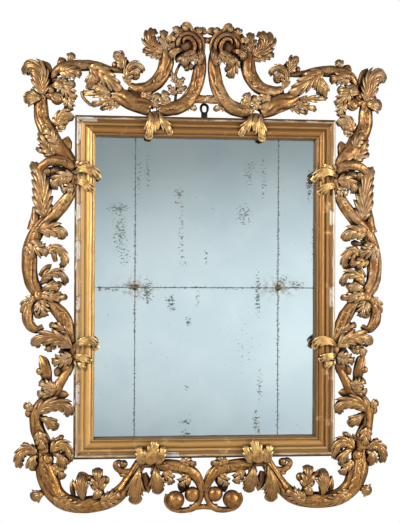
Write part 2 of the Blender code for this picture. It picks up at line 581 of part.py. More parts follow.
def make_board(cutters):
    half_w = SIGHT_W / 2 + SIGHT_LIP - GLASS_EDGE_CLEAR
    half_h = SIGHT_H / 2 + SIGHT_LIP - GLASS_EDGE_CLEAR
    front = GLASS_FRONT - GLASS_T - GAP
    low = (FRAME_X - half_w, wall_height(front), FRAME_Z - half_h)
    high = (FRAME_X + half_w, wall_height(front - BOARD_T), FRAME_Z + half_h)
    board = box("back_board", low, high, PINE)
    face_out(board)
    for cutter in cutters:
        boolean(board, cutter, "DIFFERENCE")


def make_buttons():
    """Domed buttons with a petalled rim, each on a pin that goes between the plates."""
    base = GLASS_FRONT + GAP
    sides = 2 * BUTTON_PETALS
    rings = ((BUTTON_R, 0.0), (BUTTON_R, 0.35), (0.62 * BUTTON_R, 0.75), (0.3 * BUTTON_R, 1.0))
    pin_end = GLASS_FRONT - GLASS_T - GAP - PIN_IN_BOARD
    for side, (x, z) in zip(("left", "right"), pin_places()):
        points = []
        for radius, share in ((PIN_R, pin_end), (PIN_R, base)):
            for step in range(sides):
                angle = 2 * math.pi * step / sides
                points.append((x + radius * math.cos(angle), wall_height(share),
                               z + radius * math.sin(angle)))
        for radius, share in rings:
            for step in range(sides):
                angle = 2 * math.pi * step / sides
                petal = radius * (1.0 if step % 2 else 0.9)
                points.append((x + petal * math.cos(angle), wall_height(base + BUTTON_RISE * share),
                               z + petal * math.sin(angle)))
        made = new_object(f"plate_button_{side}", points,
                          cylinder_faces(sides, 2 + len(rings)), BRASS)
        face_out(made)


# Hanging eye


def eye_outline(grow=0.0):
    """Outline of the iron: a round head that narrows to the shank, as (x, z)."""
    head = EYE_W / 2 + EYE_IRON + grow
    centre = -EYE_W / 2
    points = []
    for step in range(13):
        angle = math.pi * step / 12
        points.append((head * math.cos(angle), centre + head * math.sin(angle)))
    shoulder = -EYE_H - EYE_IRON * 0.4
    foot = -EYE_ABOVE_RAIL - SHANK_LAP - grow
    half = SHANK_W / 2 + grow
    points += [(-half, shoulder), (-half, foot), (half, foot), (half, shoulder)]
    return points


def plate_outline(name, outline, low, high, look=None):
    points = [(x, y, z) for y in (low, high) for x, z in outline]
    made = new_object(name, points, cylinder_faces(len(outline), 2), look)
    face_out(made)
    return made


def make_eye(rail_top):
    eye = plate_outline("hanging_ring", eye_outline(), -EYE_T / 2, EYE_T / 2, IRON)
    hole = []
    straight = EYE_H - EYE_W
    for step in range(9):
        angle = math.pi * step / 8
        hole.append((EYE_W / 2 * math.cos(angle), -EYE_W / 2 + EYE_W / 2 * math.sin(angle)))
    for step in range(9):
        angle = math.pi + math.pi * step / 8
        hole.append((EYE_W / 2 * math.cos(angle),
                     -EYE_W / 2 - straight + EYE_W / 2 * math.sin(angle)))
    cutter = as_cutter(plate_outline("eye_hole", hole, -EYE_T, EYE_T))
    boolean(eye, cutter, "DIFFERENCE")
    recess = plate_outline("shank_recess", eye_outline(GAP), -EYE_T / 2 - GAP, EYE_T)
    boolean(rail_top, as_cutter(recess), "DIFFERENCE")


# Carving


def ease(value, start, end):
    """A smooth rise from 0 to 1 between two values."""
    part = min(max((value - start) / (end - start), 0.0), 1.0)
    return part * part * (3 - 2 * part)


def stray(out, up, side):
    """How far to the right of its drawn place the hand-cut carving lies."""
    beside = ease(out, DRAWN_W / 2, DRAWN_W / 2 + BESIDE_FRAME)
    middle = (RIGHT_SWAY if side > 0 else LEFT_SWAY) * (1 - ease(abs(up), *SWAYING_MIDDLE))
    foot = FOOT_LEAN * ease(-up, *LEANING_FOOT)
    return CREST_LEAN * ease(up, *LEANING_CREST) + (foot + middle) * beside


def place(out, up, off_wall, side):
    """A drawn point in metres: it follows the frame's size, and the ornament's beyond it."""
    half_w, half_h = DRAWN_W / 2, DRAWN_H / 2
    out_from, up_from = FOLLOWS_ARCH_FROM
    lift = (ARCH_FOOT - ARCH_DRAWN) * ease(out, out_from, ARCH_START)
    up += lift * ease(up, up_from, ARCH_DRAWN)
    x = min(out, half_w) / half_w * FRAME_W / 2
    x += max(out - half_w, 0.0) / 1000 * ORNAMENT_REACH * (RIGHT_REACH if side > 0 else 1.0)
    z = min(abs(up), half_h) / half_h * FRAME_H / 2
    z += max(abs(up) - half_h, 0.0) / 1000 * ORNAMENT_REACH
    height = off_wall / 1000 * ORNAMENT_RELIEF
    x = FRAME_X + side * x + stray(out, up, side)
    return (x, wall_height(height), FRAME_Z + math.copysign(z, up))


def smooth_line(points, count):
    """Points evenly spaced along a smooth curve through the given ones."""
    keys = np.array(points, float)
    if len(keys) < 3:
        return np.array([keys[0] + (keys[-1] - keys[0]) * t for t in np.linspace(0, 1, count)])
    ends = [2 * keys[0] - keys[1], 2 * keys[-1] - keys[-2]]
    around = np.vstack([ends[0], keys, ends[1]])
    dense = []
    for number in range(1, len(around) - 2):
        p0, p1, p2, p3 = around[number - 1:number + 3]
        for t in np.linspace(0, 1, 12, endpoint=False):
            dense.append(0.5 * (2 * p1 + (p2 - p0) * t + (2 * p0 - 5 * p1 + 4 * p2 - p3) * t * t
                                + (3 * p1 - p0 - 3 * p2 + p3) * t ** 3))
    dense.append(keys[-1])
    dense = np.array(dense)
    travel = np.r_[0.0, np.cumsum(np.linalg.norm(np.diff(dense[:, :3], axis=0), axis=1))]
    wanted = np.linspace(0, travel[-1], count)
    return np.stack([np.interp(wanted, travel, dense[:, k]) for k in range(dense.shape[1])], 1)


def directions(line):
    """For each point of a line: along it, across it, and out of the wall."""
    along = np.gradient(line, axis=0)
    along /= np.linalg.norm(along, axis=1)[:, None]
    off_wall = np.array([0.0, -1.0, 0.0])
    across = np.cross(along[0], off_wall)
    across /= np.linalg.norm(across)
    sideways = []
    for direction in along:
        across = across - direction * across.dot(direction)
        across /= np.linalg.norm(across)
        sideways.append(across)
    sideways = np.array(sideways)
    return along, sideways, np.cross(sideways, along)


def shell(loops):
    """Points and faces of closed loops joined one to the next, with a fan at each end."""
    rings, sides = loops.shape[:2]
    points = loops.reshape(-1, 3)
    ends = np.vstack([loops[0].mean(axis=0), loops[-1].mean(axis=0)])
    faces = []
    for ring in range(rings - 1):
        for side in range(sides):
            a = ring * sides + side
            b = ring * sides + (side + 1) % sides
            faces.append((a, a + sides, b + sides, b))
    first, last = rings * sides, rings * sides + 1
    start = (rings - 1) * sides
    for side in range(sides):
        following = (side + 1) % sides
        faces.append((side, following, first))
        faces.append((start + following, start + side, last))
    return np.vstack([points, ends]), faces


def stem_shell(points, radii, side):
    """A round stalk, flatter at the back, that swells and tapers with its radii."""
    spots = [(*place(*point, side), radius / 1000) for point, radius in zip(points, radii)]
    count = 5 * len(points)
    line = smooth_line(spots, count)
    along, across, out = directions(line[:, :3])
    angles = np.linspace(0, 2 * math.pi, 12, endpoint=False)
    depth = np.where(np.sin(angles) > 0, STEM_DEPTH, STEM_DEPTH * 0.8)
    radius = line[:, 3][:, None, None]
    loops = line[:, None, :3] + radius * (np.cos(angles)[None, :, None] * across[:, None]
                                          + (depth * np.sin(angles))[None, :, None] * out[:, None])
    return shell(loops)


def leaf_shell(points, half_width, lobes, form, side):
    """A lobed leaf along a curved spine: notched edge, fluted face, thick enough to be carved."""
    widths, notch, lean, cup, flute = LEAF_FORMS[form]
    line = smooth_line([place(*point, side) for point in points], 60)
    along, across, out = directions(line)
    half_width = half_width / 1000 * LEAF_FULLNESS
    stations = 5 * lobes + 6
    t = np.linspace(0, 1, stations)[:, None]
    v = np.linspace(-1, 1, 9)[None, :]
    taper = np.interp(t, (0, 0.33, 0.75, 1), widths)
    taper = taper * np.sqrt(np.clip(1 - np.clip((t - 0.86) / 0.16, 0, 1) ** 2, 0.05, 1))
    phase = t * lobes
    nearest = np.clip(np.round(phase), 1, max(lobes - 1, 1))
    notches = np.exp(-((phase - nearest) / 0.17) ** 2) if lobes > 1 else 0.0 * phase
    half = half_width * taper * (1 - notch * notches)
    reach = np.clip(t + lean / lobes * np.abs(v) ** 1.6 * (1 - t) ** 0.5, 0, 1)
    veins = phase + 0.35 * (1 - np.abs(v))
    groove = np.exp(-((veins - np.round(veins)) / 0.16) ** 2) * (0.3 + 0.7 * np.abs(v))
    lift = half_width * (cup * v ** 2 - flute * groove - 0.22 * np.abs(v) ** 5)
    travel = reach * (len(line) - 1)
    low = np.clip(travel.astype(int), 0, len(line) - 2)
    part = (travel - low)[..., None]

    def along_line(values):
        return values[low] * (1 - part) + values[low + 1] * part

    spine, sideways, forward = along_line(line), along_line(across), along_line(out)
    front = spine + sideways * (v * half)[..., None] + forward * lift[..., None]
    thickness = LEAF_THICK * (0.62 + 0.38 * (1 - v ** 2)) + 0 * t
    back = front - forward * thickness[..., None]
    back[..., 1] = np.minimum(back[..., 1], wall_height(LEAST_OFF_WALL))
    loops = np.concatenate([front, back[:, ::-1]], axis=1)
    return shell(loops)


def bud_shell(spot, radius, depth, side):
    """A round boss that stands off the wall."""
    centre = np.array(place(*spot, side))
    radius, depth = radius / 1000, depth / 1000
    tilt = np.linspace(-math.pi / 2 + 0.15, math.pi / 2 - 0.15, 9)
    turn = np.linspace(0, 2 * math.pi, 14, endpoint=False)
    loops = np.empty((len(tilt), len(turn), 3))
    loops[..., 0] = centre[0] + radius * np.cos(tilt)[:, None] * np.cos(turn)
    loops[..., 1] = centre[1] - depth * np.sin(tilt)[:, None]
    loops[..., 2] = centre[2] + radius * np.cos(tilt)[:, None] * np.sin(turn)
    return shell(loops)


def element_shell(row, side):
    kind, places, *rest = row
    if kind == "stem":
        return stem_shell(places, *rest, side)
    if kind == "leaf":
        return leaf_shell(places, *rest, side)
    return bud_shell(places, *rest, side)


def facing_out(points, faces):
    """The faces, turned round if they enclose a negative volume."""
    volume = 0.0
    for face in faces:
        corners = points[list(face)]
        for number in range(1, len(face) - 1):
            volume += np.dot(corners[0], np.cross(corners[number], corners[number + 1]))
    return faces if volume > 0 else [face[::-1] for face in faces]


def clear_islands(item):
    """Takes away offcuts, and the closed shells inside the wood, which face inwards."""
    mesh = bmesh.new()
    mesh.from_mesh(item.data)
    waiting = set(mesh.faces)
    loose = []
    while waiting:
        island = {waiting.pop()}
        edge_of_island = list(island)
        while edge_of_island:
            beside = {other for edge in edge_of_island.pop().edges for other in edge.link_faces}
            beside &= waiting
            waiting -= beside
            island |= beside
            edge_of_island += beside
        volume = 0.0
        for face in island:
            volume += face.calc_center_median().dot(face.normal) * face.calc_area() / 3
        if volume < OFFCUT:
            loose += island
    bmesh.ops.delete(mesh, geom=loose, context="FACES")
    mesh.to_mesh(item.data)
    mesh.free()


def carved(name, rows_by_side, face_target, centre=0.0):
    """One carved section: its stems, leaves and buds grown into one solid."""
    points, faces, count = [], [], 0
    for side, rows in rows_by_side:
        for row in rows:
            spots, loops = element_shell(row, side)
            spots = spots + (centre, 0.0, 0.0)
            loops = facing_out(spots - spots.mean(axis=0), loops)
            points.append(spots)
            faces += [tuple(count + index for index in face) for face in loops]
            count += len(spots)
    made = new_object(name, np.vstack(points), faces, GILDING)
    grain = made.modifiers.new("grain", "REMESH")
    grain.mode = "VOXEL"
    grain.voxel_size = CARVING_GRAIN
    grain.use_smooth_shade = False
    settle(made)
    clear_islands(made)
    triangles = sum(len(polygon.vertices) - 2 for polygon in made.data.polygons)
    facets = made.modifiers.new("facets", "DECIMATE")
    facets.ratio = min(1.0, face_target / triangles)
    settle(made)
    made.data.materials.clear()
    made.data.materials.append(material(GILDING))
    return made


def joint_cutter(name, side, out, up):
    """A block that clears one section from another's place, between drawn limits."""
    x = sorted(place(limit, 0.0, 0.0, side)[0] for limit in out)
    z = sorted(place(0.0, limit, 0.0, side)[2] for limit in up)
    low = (x[0], wall_height(JOINT_CUT_FRONT), z[0])
    high = (x[1], wall_height(-JOINT_CUT_BACK), z[1])
    made = box(name, low, high)
    face_out(made)
    return as_cutter(made)


def make_carving():
    crest_rows = ((-1, CREST_HALF + CREST_LEFT), (1, CREST_HALF + CREST_RIGHT))
    apron_rows = ((-1, APRON_HALF), (1, APRON_HALF))
    crest = carved("carved_crest", crest_rows, CREST_FACES, CARVING_CENTRE)
    apron = carved("carved_apron", apron_rows, APRON_FACES, CARVING_CENTRE)
    left = carved("carved_left", ((-1, SIDE_HALF),), SIDE_FACES)
    right = carved("carved_right", ((1, SIDE_HALF + SIDE_RIGHT),), SIDE_FACES)
    gap = GAP * 1000
    stem_in, stem_out = CORNER_STEM
    beside_crest = (
        ((ARCH_END - gap, FAR), (0, FAR)),
        ((ARCH_START, FAR), (0, ARCH_FOOT + gap)),
    )
    beside_apron = (
        ((stem_in - gap, stem_out + gap), (CORNER_FOOT - gap, 0)),
        ((ARCH_START, FAR), (CORNER_TOP - gap, 0)),
    )
    beside_side = (
        ((0, ARCH_END), (ARCH_FOOT, FAR)),
        ((0, FAR), (-FAR, CORNER_FOOT)),
        ((0, stem_in), (-FAR, CORNER_TOP)),
        ((stem_out, FAR), (-FAR, CORNER_TOP)),
    )
    envelope = frame_envelope()
    sections = (
        (crest, (-1, 1), beside_crest),
        (apron, (-1, 1), beside_apron),
        (left, (-1,), beside_side),
        (right, (1,), beside_side),
    )
    for section, sides, limits in sections:
        for side in sides:
            for number, (out, up) in enumerate(limits):
                name = f"{section.name}_joint_{side}_{number}"
                boolean(section, joint_cutter(name, side, out, up), "DIFFERENCE")
        boolean(section, envelope, "DIFFERENCE")
        settle(section)
        clear_islands(section)


def main():
    clear_scene()
    rails = make_rails()
    cutters = pin_cutters()
    make_plates(cutters)
    make_board(cutters)
    make_buttons()
    make_eye(rails["rail_top"])
    make_carving()


main()
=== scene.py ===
"""The carved giltwood wall mirror dressed for the photograph: fine carving, gilding and old glass."""

import math

import bpy
import numpy as np
from mathutils import Matrix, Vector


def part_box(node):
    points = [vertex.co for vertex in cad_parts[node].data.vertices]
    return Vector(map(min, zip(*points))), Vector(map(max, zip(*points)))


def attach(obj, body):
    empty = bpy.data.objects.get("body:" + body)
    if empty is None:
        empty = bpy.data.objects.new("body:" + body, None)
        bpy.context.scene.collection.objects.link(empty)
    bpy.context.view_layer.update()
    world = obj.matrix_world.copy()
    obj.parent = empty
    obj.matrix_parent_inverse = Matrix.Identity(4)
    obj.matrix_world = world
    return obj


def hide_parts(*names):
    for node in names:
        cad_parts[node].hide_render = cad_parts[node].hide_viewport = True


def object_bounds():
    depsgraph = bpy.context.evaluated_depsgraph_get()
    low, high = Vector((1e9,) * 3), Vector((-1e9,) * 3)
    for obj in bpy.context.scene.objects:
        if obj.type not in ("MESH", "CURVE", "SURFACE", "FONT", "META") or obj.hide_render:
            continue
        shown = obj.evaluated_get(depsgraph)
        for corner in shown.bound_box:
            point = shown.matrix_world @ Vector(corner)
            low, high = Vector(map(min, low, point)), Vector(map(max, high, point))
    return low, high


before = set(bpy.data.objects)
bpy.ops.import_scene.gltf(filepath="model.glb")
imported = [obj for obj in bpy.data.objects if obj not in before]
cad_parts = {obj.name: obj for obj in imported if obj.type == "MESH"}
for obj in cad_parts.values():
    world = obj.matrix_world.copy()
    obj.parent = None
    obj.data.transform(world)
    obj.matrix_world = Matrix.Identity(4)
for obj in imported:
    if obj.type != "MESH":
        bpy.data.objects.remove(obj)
cad_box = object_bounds()

# Frame sizes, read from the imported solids
rail_left_box, rail_right_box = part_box("rail_left"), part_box("rail_right")
LEFT_X, RIGHT_X = rail_left_box[0].x, rail_right_box[1].x
LOW_Z, HIGH_Z = rail_left_box[0].z, rail_left_box[1].z
BACK_Y = rail_left_box[1].y
FRAME_W, FRAME_H = RIGHT_X - LEFT_X, HIGH_Z - LOW_Z
FRAME_X, FRAME_Z = (LEFT_X + RIGHT_X) / 2, (LOW_Z + HIGH_Z) / 2
RAIL_FACE = 0.0865
SIGHT_LIP = 0.010
GLASS_FRONT = 0.019
SEAT_GAP = 0.0003
HALF_MITRE_GAP = 0.00015
RAIL_STATIONS = 110
SHARP_ANGLE = math.radians(38)
GLASS_CELL = 0.007

# Members of the moulding, from the outer edge inwards: share of the face, height at each side
# of the member above the rail's back, rise of its middle and number of facets
MEMBERS = (
    (0.20, 0.050, 0.057, 0.0040, 9),
    (0.18, 0.055, 0.053, -0.0040, 9),
    (0.11, 0.058, 0.058, 0.0, 3),
    (0.03, 0.0535, 0.0535, 0.0, 1),
    (0.31, 0.0555, 0.060, 0.0065, 13),
    (0.03, 0.0552, 0.0552, 0.0, 1),
    (0.10, 0.056, 0.055, 0.0040, 7),
    (0.04, 0.047, 0.044, 0.0, 2),
)
NARROW_MEMBER = 0.04

# Carving, drawn as in the solids: how far it reaches beyond the frame and its depth
ORNAMENT_REACH = 1.0
RIGHT_REACH = 0.95
CARVING_CENTRE = -0.007
CREST_LEAN = 0.007
FOOT_LEAN = 0.006
LEFT_SWAY = 0.004
RIGHT_SWAY = -0.005
DRAWN_W = 1116.0
DRAWN_H = 1440.0
# Drawn distances over which the leanings come in: past the frame's side, above and below the
# middle of a side, down to the foot and up to the crest
SIDE_EASE = 100
SWAY_EASE = (350, 750)
FOOT_EASE = (560, 720)
CREST_EASE = (740, 900)
LEAF_FULLNESS = 1.26
LEAF_THICK = 0.016
STEM_DEPTH = 0.74
REEDS = 3
LEAST_OFF_WALL = 0.0015
DEEPEST = BACK_Y - cad_box[0][1]
EASED_FROM = 0.078
PLAIN_BOSS = 0.030
LEAF_CELL = 0.0041
STEM_CELL = 0.0056
# Depth of a hand tool's marks and how far apart they lie, on each kind of work
GOUGE_MARKS = (0.0007, 0.009)
PLANE_MARKS = (0.0004, 0.03)
HAMMER_MARKS = (0.00025, 0.006)

# Leaf forms: half width at the root, third, shoulder and tip as shares of the widest,
# depth of the notches, forward lean of the lobes, cupping and depth of the flutes
LEAF_FORMS = {
    "acanthus": ((0.62, 1.0, 0.92, 0.50), 0.42, 0.62, 0.05, 0.30),
    "fan": ((0.45, 0.88, 1.0, 0.74), 0.36, 0.50, 0.08, 0.30),
    "frond": ((0.60, 1.0, 0.82, 0.26), 0.54, 0.95, 0.02, 0.26),
    "tongue": ((0.70, 1.0, 0.94, 0.50), 0.0, 0.0, -0.18, 0.14),
    "sheath": ((0.85, 1.0, 0.74, 0.14), 0.40, 0.70, -0.50, 0.34),
}
WIDTHS_AT = (0, 0.33, 0.75, 1)
# Share of a leaf's width that its body fills, and the length of a lobe as a share of the leaf
BODY_SHARE = 0.66
FLARE = {"acanthus": 0.62, "frond": 0.52}
NARROW_LEAF = 0.021
# Stalks of this many drawn points or more are wrapped by sheath leaves between these shares
LEAST_SHEATHED = 5
SHEATHS = ((0.02, 0.34), (0.42, 0.74))

# The carving is drawn for one half, in millimetres of the drawn frame. A point is its distance
# out from the centre line, its height above the frame's centre and its height off the wall. A
# stem is a row of points, each with its radius. A bud is a point with a radius and a depth. Any
# other row is a leaf of that form: its half width, its number of lobes and its midline.
SIDE_HALF = {
    "stem": (
        ((700, 812, 34, 22), (701, 750, 34, 31), (697, 700, 34, 32), (670, 645, 36, 37),
         (636, 592, 38, 36), (600, 552, 40, 33), (572, 518, 44, 26)),
        ((662, 866, 34, 12), (640, 862, 36, 16), (606, 835, 38, 18), (588, 790, 38, 17),
         (592, 745, 36, 16), (614, 704, 34, 14), (642, 668, 34, 14)),
        ((690, 806, 36, 16), (662, 800, 38, 18), (634, 792, 42, 20)),
        ((560, 500, 52, 22), (610, 524, 60, 22), (665, 522, 58, 20), (706, 494, 50, 17),
         (722, 450, 40, 14)),
        ((724, 335, 32, 13), (726, 290, 34, 20), (738, 236, 32, 24)),
        ((568, 405, 46, 22), (605, 350, 42, 27), (655, 296, 38, 29), (710, 240, 34, 30),
         (742, 170, 32, 32), (749, 90, 32, 33), (740, 20, 32, 31), (708, -30, 36, 28)),
        ((655, 160, 48, 11), (646, 132, 50, 12), (640, 106, 44, 10)),
        ((722, -42, 36, 22), (752, -95, 38, 24), (750, -148, 38, 24), (720, -179, 36, 18),
         (690, -166, 34, 11)),
        ((694, -38, 40, 22), (646, -80, 42, 27), (604, -130, 44, 31), (580, -185, 46, 28),
         (564, -236, 50, 20)),
        ((562, -314, 48, 15), (589, -362, 44, 17), (620, -408, 40, 22), (644, -448, 38, 28),
         (690, -488, 36, 28), (714, -530, 34, 28), (710, -590, 34, 30), (691, -640, 36, 34),
         (682, -692, 36, 33)),
        ((561, 520, 44, 14), (562, 450, 54, 17), (561, 388, 44, 13)),
        ((561, -212, 44, 14), (562, -260, 54, 17), (561, -330, 44, 13)),
    ),
    "bud": (
        (662, 828, 38, 24, 16), (634, 790, 44, 29, 20), (606, 692, 44, 21, 16),
        (642, -4, 50, 22, 16), (704, -38, 42, 29, 22), (708, -112, 40, 22, 16),
        (592, -334, 46, 20, 18), (703, -353, 38, 16, 12), (745, -527, 34, 18, 13),
    ),
    "acanthus": (
        (33, 5, (694, 795, 36), (706, 840, 46), (712, 885, 54), (728, 912, 56), (752, 918, 52),
         (768, 900, 44), (760, 882, 38)),
        (20, 2, (655, 858, 40), (615, 852, 50), (560, 850, 38)),
        (26, 3, (625, 850, 40), (595, 820, 52), (558, 784, 40)),
        (22, 3, (598, 800, 42), (584, 772, 50), (578, 736, 40)),
        (22, 3, (640, 668, 38), (622, 708, 48), (592, 720, 50), (568, 696, 42)),
        (15, 2, (640, 650, 40), (614, 668, 46), (596, 668, 38)),
        (22, 2, (640, 600, 54), (668, 640, 60), (696, 656, 50)),
        (27, 3, (562, 455, 54), (605, 458, 62), (640, 435, 56), (654, 406, 44)),
        (22, 2, (562, 420, 52), (590, 412, 60), (616, 398, 50)),
        (28, 2, (712, 234, 44), (665, 240, 56), (620, 232, 56), (604, 198, 42)),
        (30, 3, (748, 190, 42), (715, 160, 54), (666, 142, 46)),
        (18, 2, (752, 178, 44), (746, 146, 52), (728, 116, 44)),
        (17, 4, (682, 135, 44), (644, 163, 54), (609, 142, 56), (599, 108, 50), (620, 78, 42)),
        (19, 2, (704, 20, 42), (662, 54, 54), (620, 56, 56), (599, 32, 46), (599, 4, 34)),
        (17, 2, (718, -50, 38), (754, -60, 46), (772, -86, 40), (772, -116, 28)),
        (29, 3, (706, -56, 46), (692, -92, 58), (684, -128, 44)),
        (28, 3, (560, -256, 56), (615, -220, 64), (675, -210, 58), (718, -228, 48),
         (714, -258, 36)),
        (23, 2, (640, -225, 44), (662, -248, 46), (670, -272, 36)),
        (28, 3, (562, -290, 54), (602, -302, 62), (654, -318, 46)),
        (23, 3, (636, -428, 44), (675, -410, 54), (706, -396, 42)),
        (20, 2, (645, -458, 42), (685, -444, 52), (714, -450, 40)),
        (26, 3, (714, -532, 42), (668, -493, 58), (614, -489, 60), (577, -508, 52),
         (584, -546, 38)),
        (24, 2, (704, -596, 54), (694, -640, 58), (690, -684, 46)),
        (14, 2, (672, -652, 38), (632, -640, 42), (598, -622, 32)),
        (15, 2, (562, 498, 58), (530, 514, 78), (492, 512, 74)),
        (15, 2, (560, -300, 56), (530, -322, 76), (506, -336, 72)),
    ),
    "fan": (
        (37, 3, (690, 795, 38), (725, 788, 50), (776, 794, 36)),
        (24, 2, (668, 838, 44), (636, 842, 58), (606, 850, 50)),
        (30, 2, (558, 478, 32), (620, 486, 36), (694, 474, 32)),
        (20, 2, (704, 6, 38), (678, 28, 46), (648, 34, 40)),
        (22, 3, (706, -22, 44), (660, 2, 58), (610, 12, 46)),
        (21, 2, (714, -515, 36), (742, -502, 42), (769, -494, 36)),
        (29, 3, (704, -540, 46), (664, -558, 56), (624, -594, 44)),
    ),
    "frond": (
        (28, 4, (645, 540, 42), (678, 592, 46), (708, 652, 34)),
        (15, 2, (640, 545, 40), (684, 560, 42), (724, 582, 30)),
        (36, 5, (682, 280, 34), (694, 345, 42), (698, 410, 44), (710, 470, 40), (742, 526, 28)),
        (22, 3, (704, -32, 46), (648, -40, 56), (584, -44, 38)),
        (25, 3, (568, -205, 50), (606, -176, 54), (666, -156, 38)),
    ),
    "tongue": (
        (15, 1, (668, 850, 34), (675, 895, 42), (688, 928, 42), (705, 950, 34)),
        (19, 1, (596, 556, 44), (594, 600, 48), (586, 632, 40)),
        (15, 1, (706, 500, 48), (680, 482, 56), (668, 458, 46)),
        (11, 1, (706, 44, 38), (680, 74, 44), (656, 94, 36)),
        (11, 1, (566, -272, 42), (600, -266, 40), (626, -276, 32)),
        (18, 1, (592, -350, 38), (618, -352, 40), (640, -374, 34)),
        (20, 1, (668, -410, 38), (680, -345, 46), (688, -312, 44), (703, -286, 34)),
        (16, 1, (655, -460, 46), (612, -452, 48), (577, -451, 38)),
    ),
    "reed": (
        (25, 4, (566, 470, 58), (522, 494, 72), (484, 486, 74), (454, 452, 66)),
        (23, 4, (566, 436, 56), (518, 432, 71), (478, 398, 66)),
        (25, 4, (566, -252, 58), (522, -226, 72), (484, -226, 74), (460, -262, 66)),
        (23, 4, (566, -285, 56), (520, -294, 71), (484, -314, 66)),
    ),
}

APRON_HALF = {
    "stem": (
        ((683, -688, 36, 28), (677, -742, 38, 40), (661, -800, 40, 46), (634, -858, 40, 40),
         (582, -898, 40, 37), (510, -910, 40, 36), (440, -904, 40, 36), (385, -888, 40, 34),
         (338, -848, 40, 31), (300, -792, 42, 28), (268, -740, 46, 26)),
        ((440, -860, 44, 12), (424, -830, 42, 12), (416, -812, 40, 12)),
        ((284, -768, 42, 14), (330, -776, 42, 14), (364, -764, 40, 13), (374, -744, 38, 11),
         (360, -733, 36, 9), (342, -740, 36, 8), (340, -752, 36, 8)),
        ((290, -740, 44, 17), (240, -742, 50, 18), (190, -746, 46, 18)),
        ((215, -746, 46, 24), (160, -752, 46, 28), (104, -760, 44, 28), (48, -783, 44, 27),
         (19, -822, 44, 21), (10, -862, 42, 16)),
        ((10, -850, 42, 15), (18, -898, 42, 14), (42, -932, 40, 14), (86, -943, 40, 13),
         (132, -935, 40, 12), (158, -906, 40, 11), (153, -874, 40, 11)),
        ((60, -930, 38, 12), (30, -930, 38, 13), (0, -929, 38, 11)),
    ),
    "bud": (
        (480, -800, 44, 15, 12), (418, -810, 40, 20, 14), (340, -744, 36, 18, 14),
        (120, -897, 44, 39, 34), (49, -875, 42, 33, 26), (660, -716, 52, 24, 20),
    ),
    "acanthus": (
        (28, 2, (440, -860, 46), (448, -802, 54), (449, -756, 40)),
        (28, 3, (440, -900, 58), (396, -884, 64), (348, -856, 50)),
        (12, 2, (300, -775, 40), (330, -790, 46), (360, -782, 36)),
        (23, 2, (168, -765, 46), (148, -802, 52), (135, -834, 40)),
        (17, 2, (112, -742, 44), (68, -738, 50), (30, -752, 40)),
        (25, 2, (62, -796, 46), (85, -815, 54), (98, -844, 42)),
        (22, 4, (703, -702, 44), (742, -674, 52), (772, -692, 52), (782, -728, 46),
         (774, -756, 38)),
        (16, 2, (715, -690, 40), (746, -662, 46), (772, -662, 36)),
        (23, 3, (652, -696, 44), (620, -662, 52), (584, -664, 54), (571, -700, 52),
         (570, -738, 40)),
        (22, 2, (646, -735, 46), (612, -770, 54), (590, -802, 42)),
        (22, 3, (232, -745, 62), (226, -702, 82), (214, -662, 88), (205, -640, 78)),
        (20, 3, (262, -742, 60), (268, -702, 80), (282, -662, 78)),
        (18, 3, (208, -742, 60), (186, -702, 80), (170, -666, 78)),
    ),
    "fan": (
        (30, 3, (668, -852, 38), (700, -866, 48), (733, -882, 36)),
        (36, 2, (505, -905, 50), (514, -858, 60), (515, -808, 58), (498, -776, 42)),
        (24, 2, (470, -890, 56), (448, -862, 64), (420, -852, 54)),
        (42, 3, (268, -735, 56), (282, -790, 68), (292, -850, 62), (288, -914, 44)),
        (38, 3, (210, -738, 56), (206, -790, 68), (190, -872, 46)),
        (27, 3, (696, -700, 52), (722, -708, 64), (728, -738, 58), (712, -764, 46)),
        (27, 3, (648, -694, 52), (614, -700, 64), (597, -728, 62), (597, -766, 48)),
    ),
    "frond": (
        (24, 4, (640, -868, 52), (570, -902, 62), (500, -917, 54)),
    ),
    "tongue": (
        (9, 1, (545, -885, 44), (554, -840, 44), (552, -808, 34)),
        (17, 1, (256, -780, 54), (242, -830, 60), (234, -866, 46)),
        (20, 1, (60, -796, 32), (82, -834, 36), (92, -872, 32)),
    ),
}

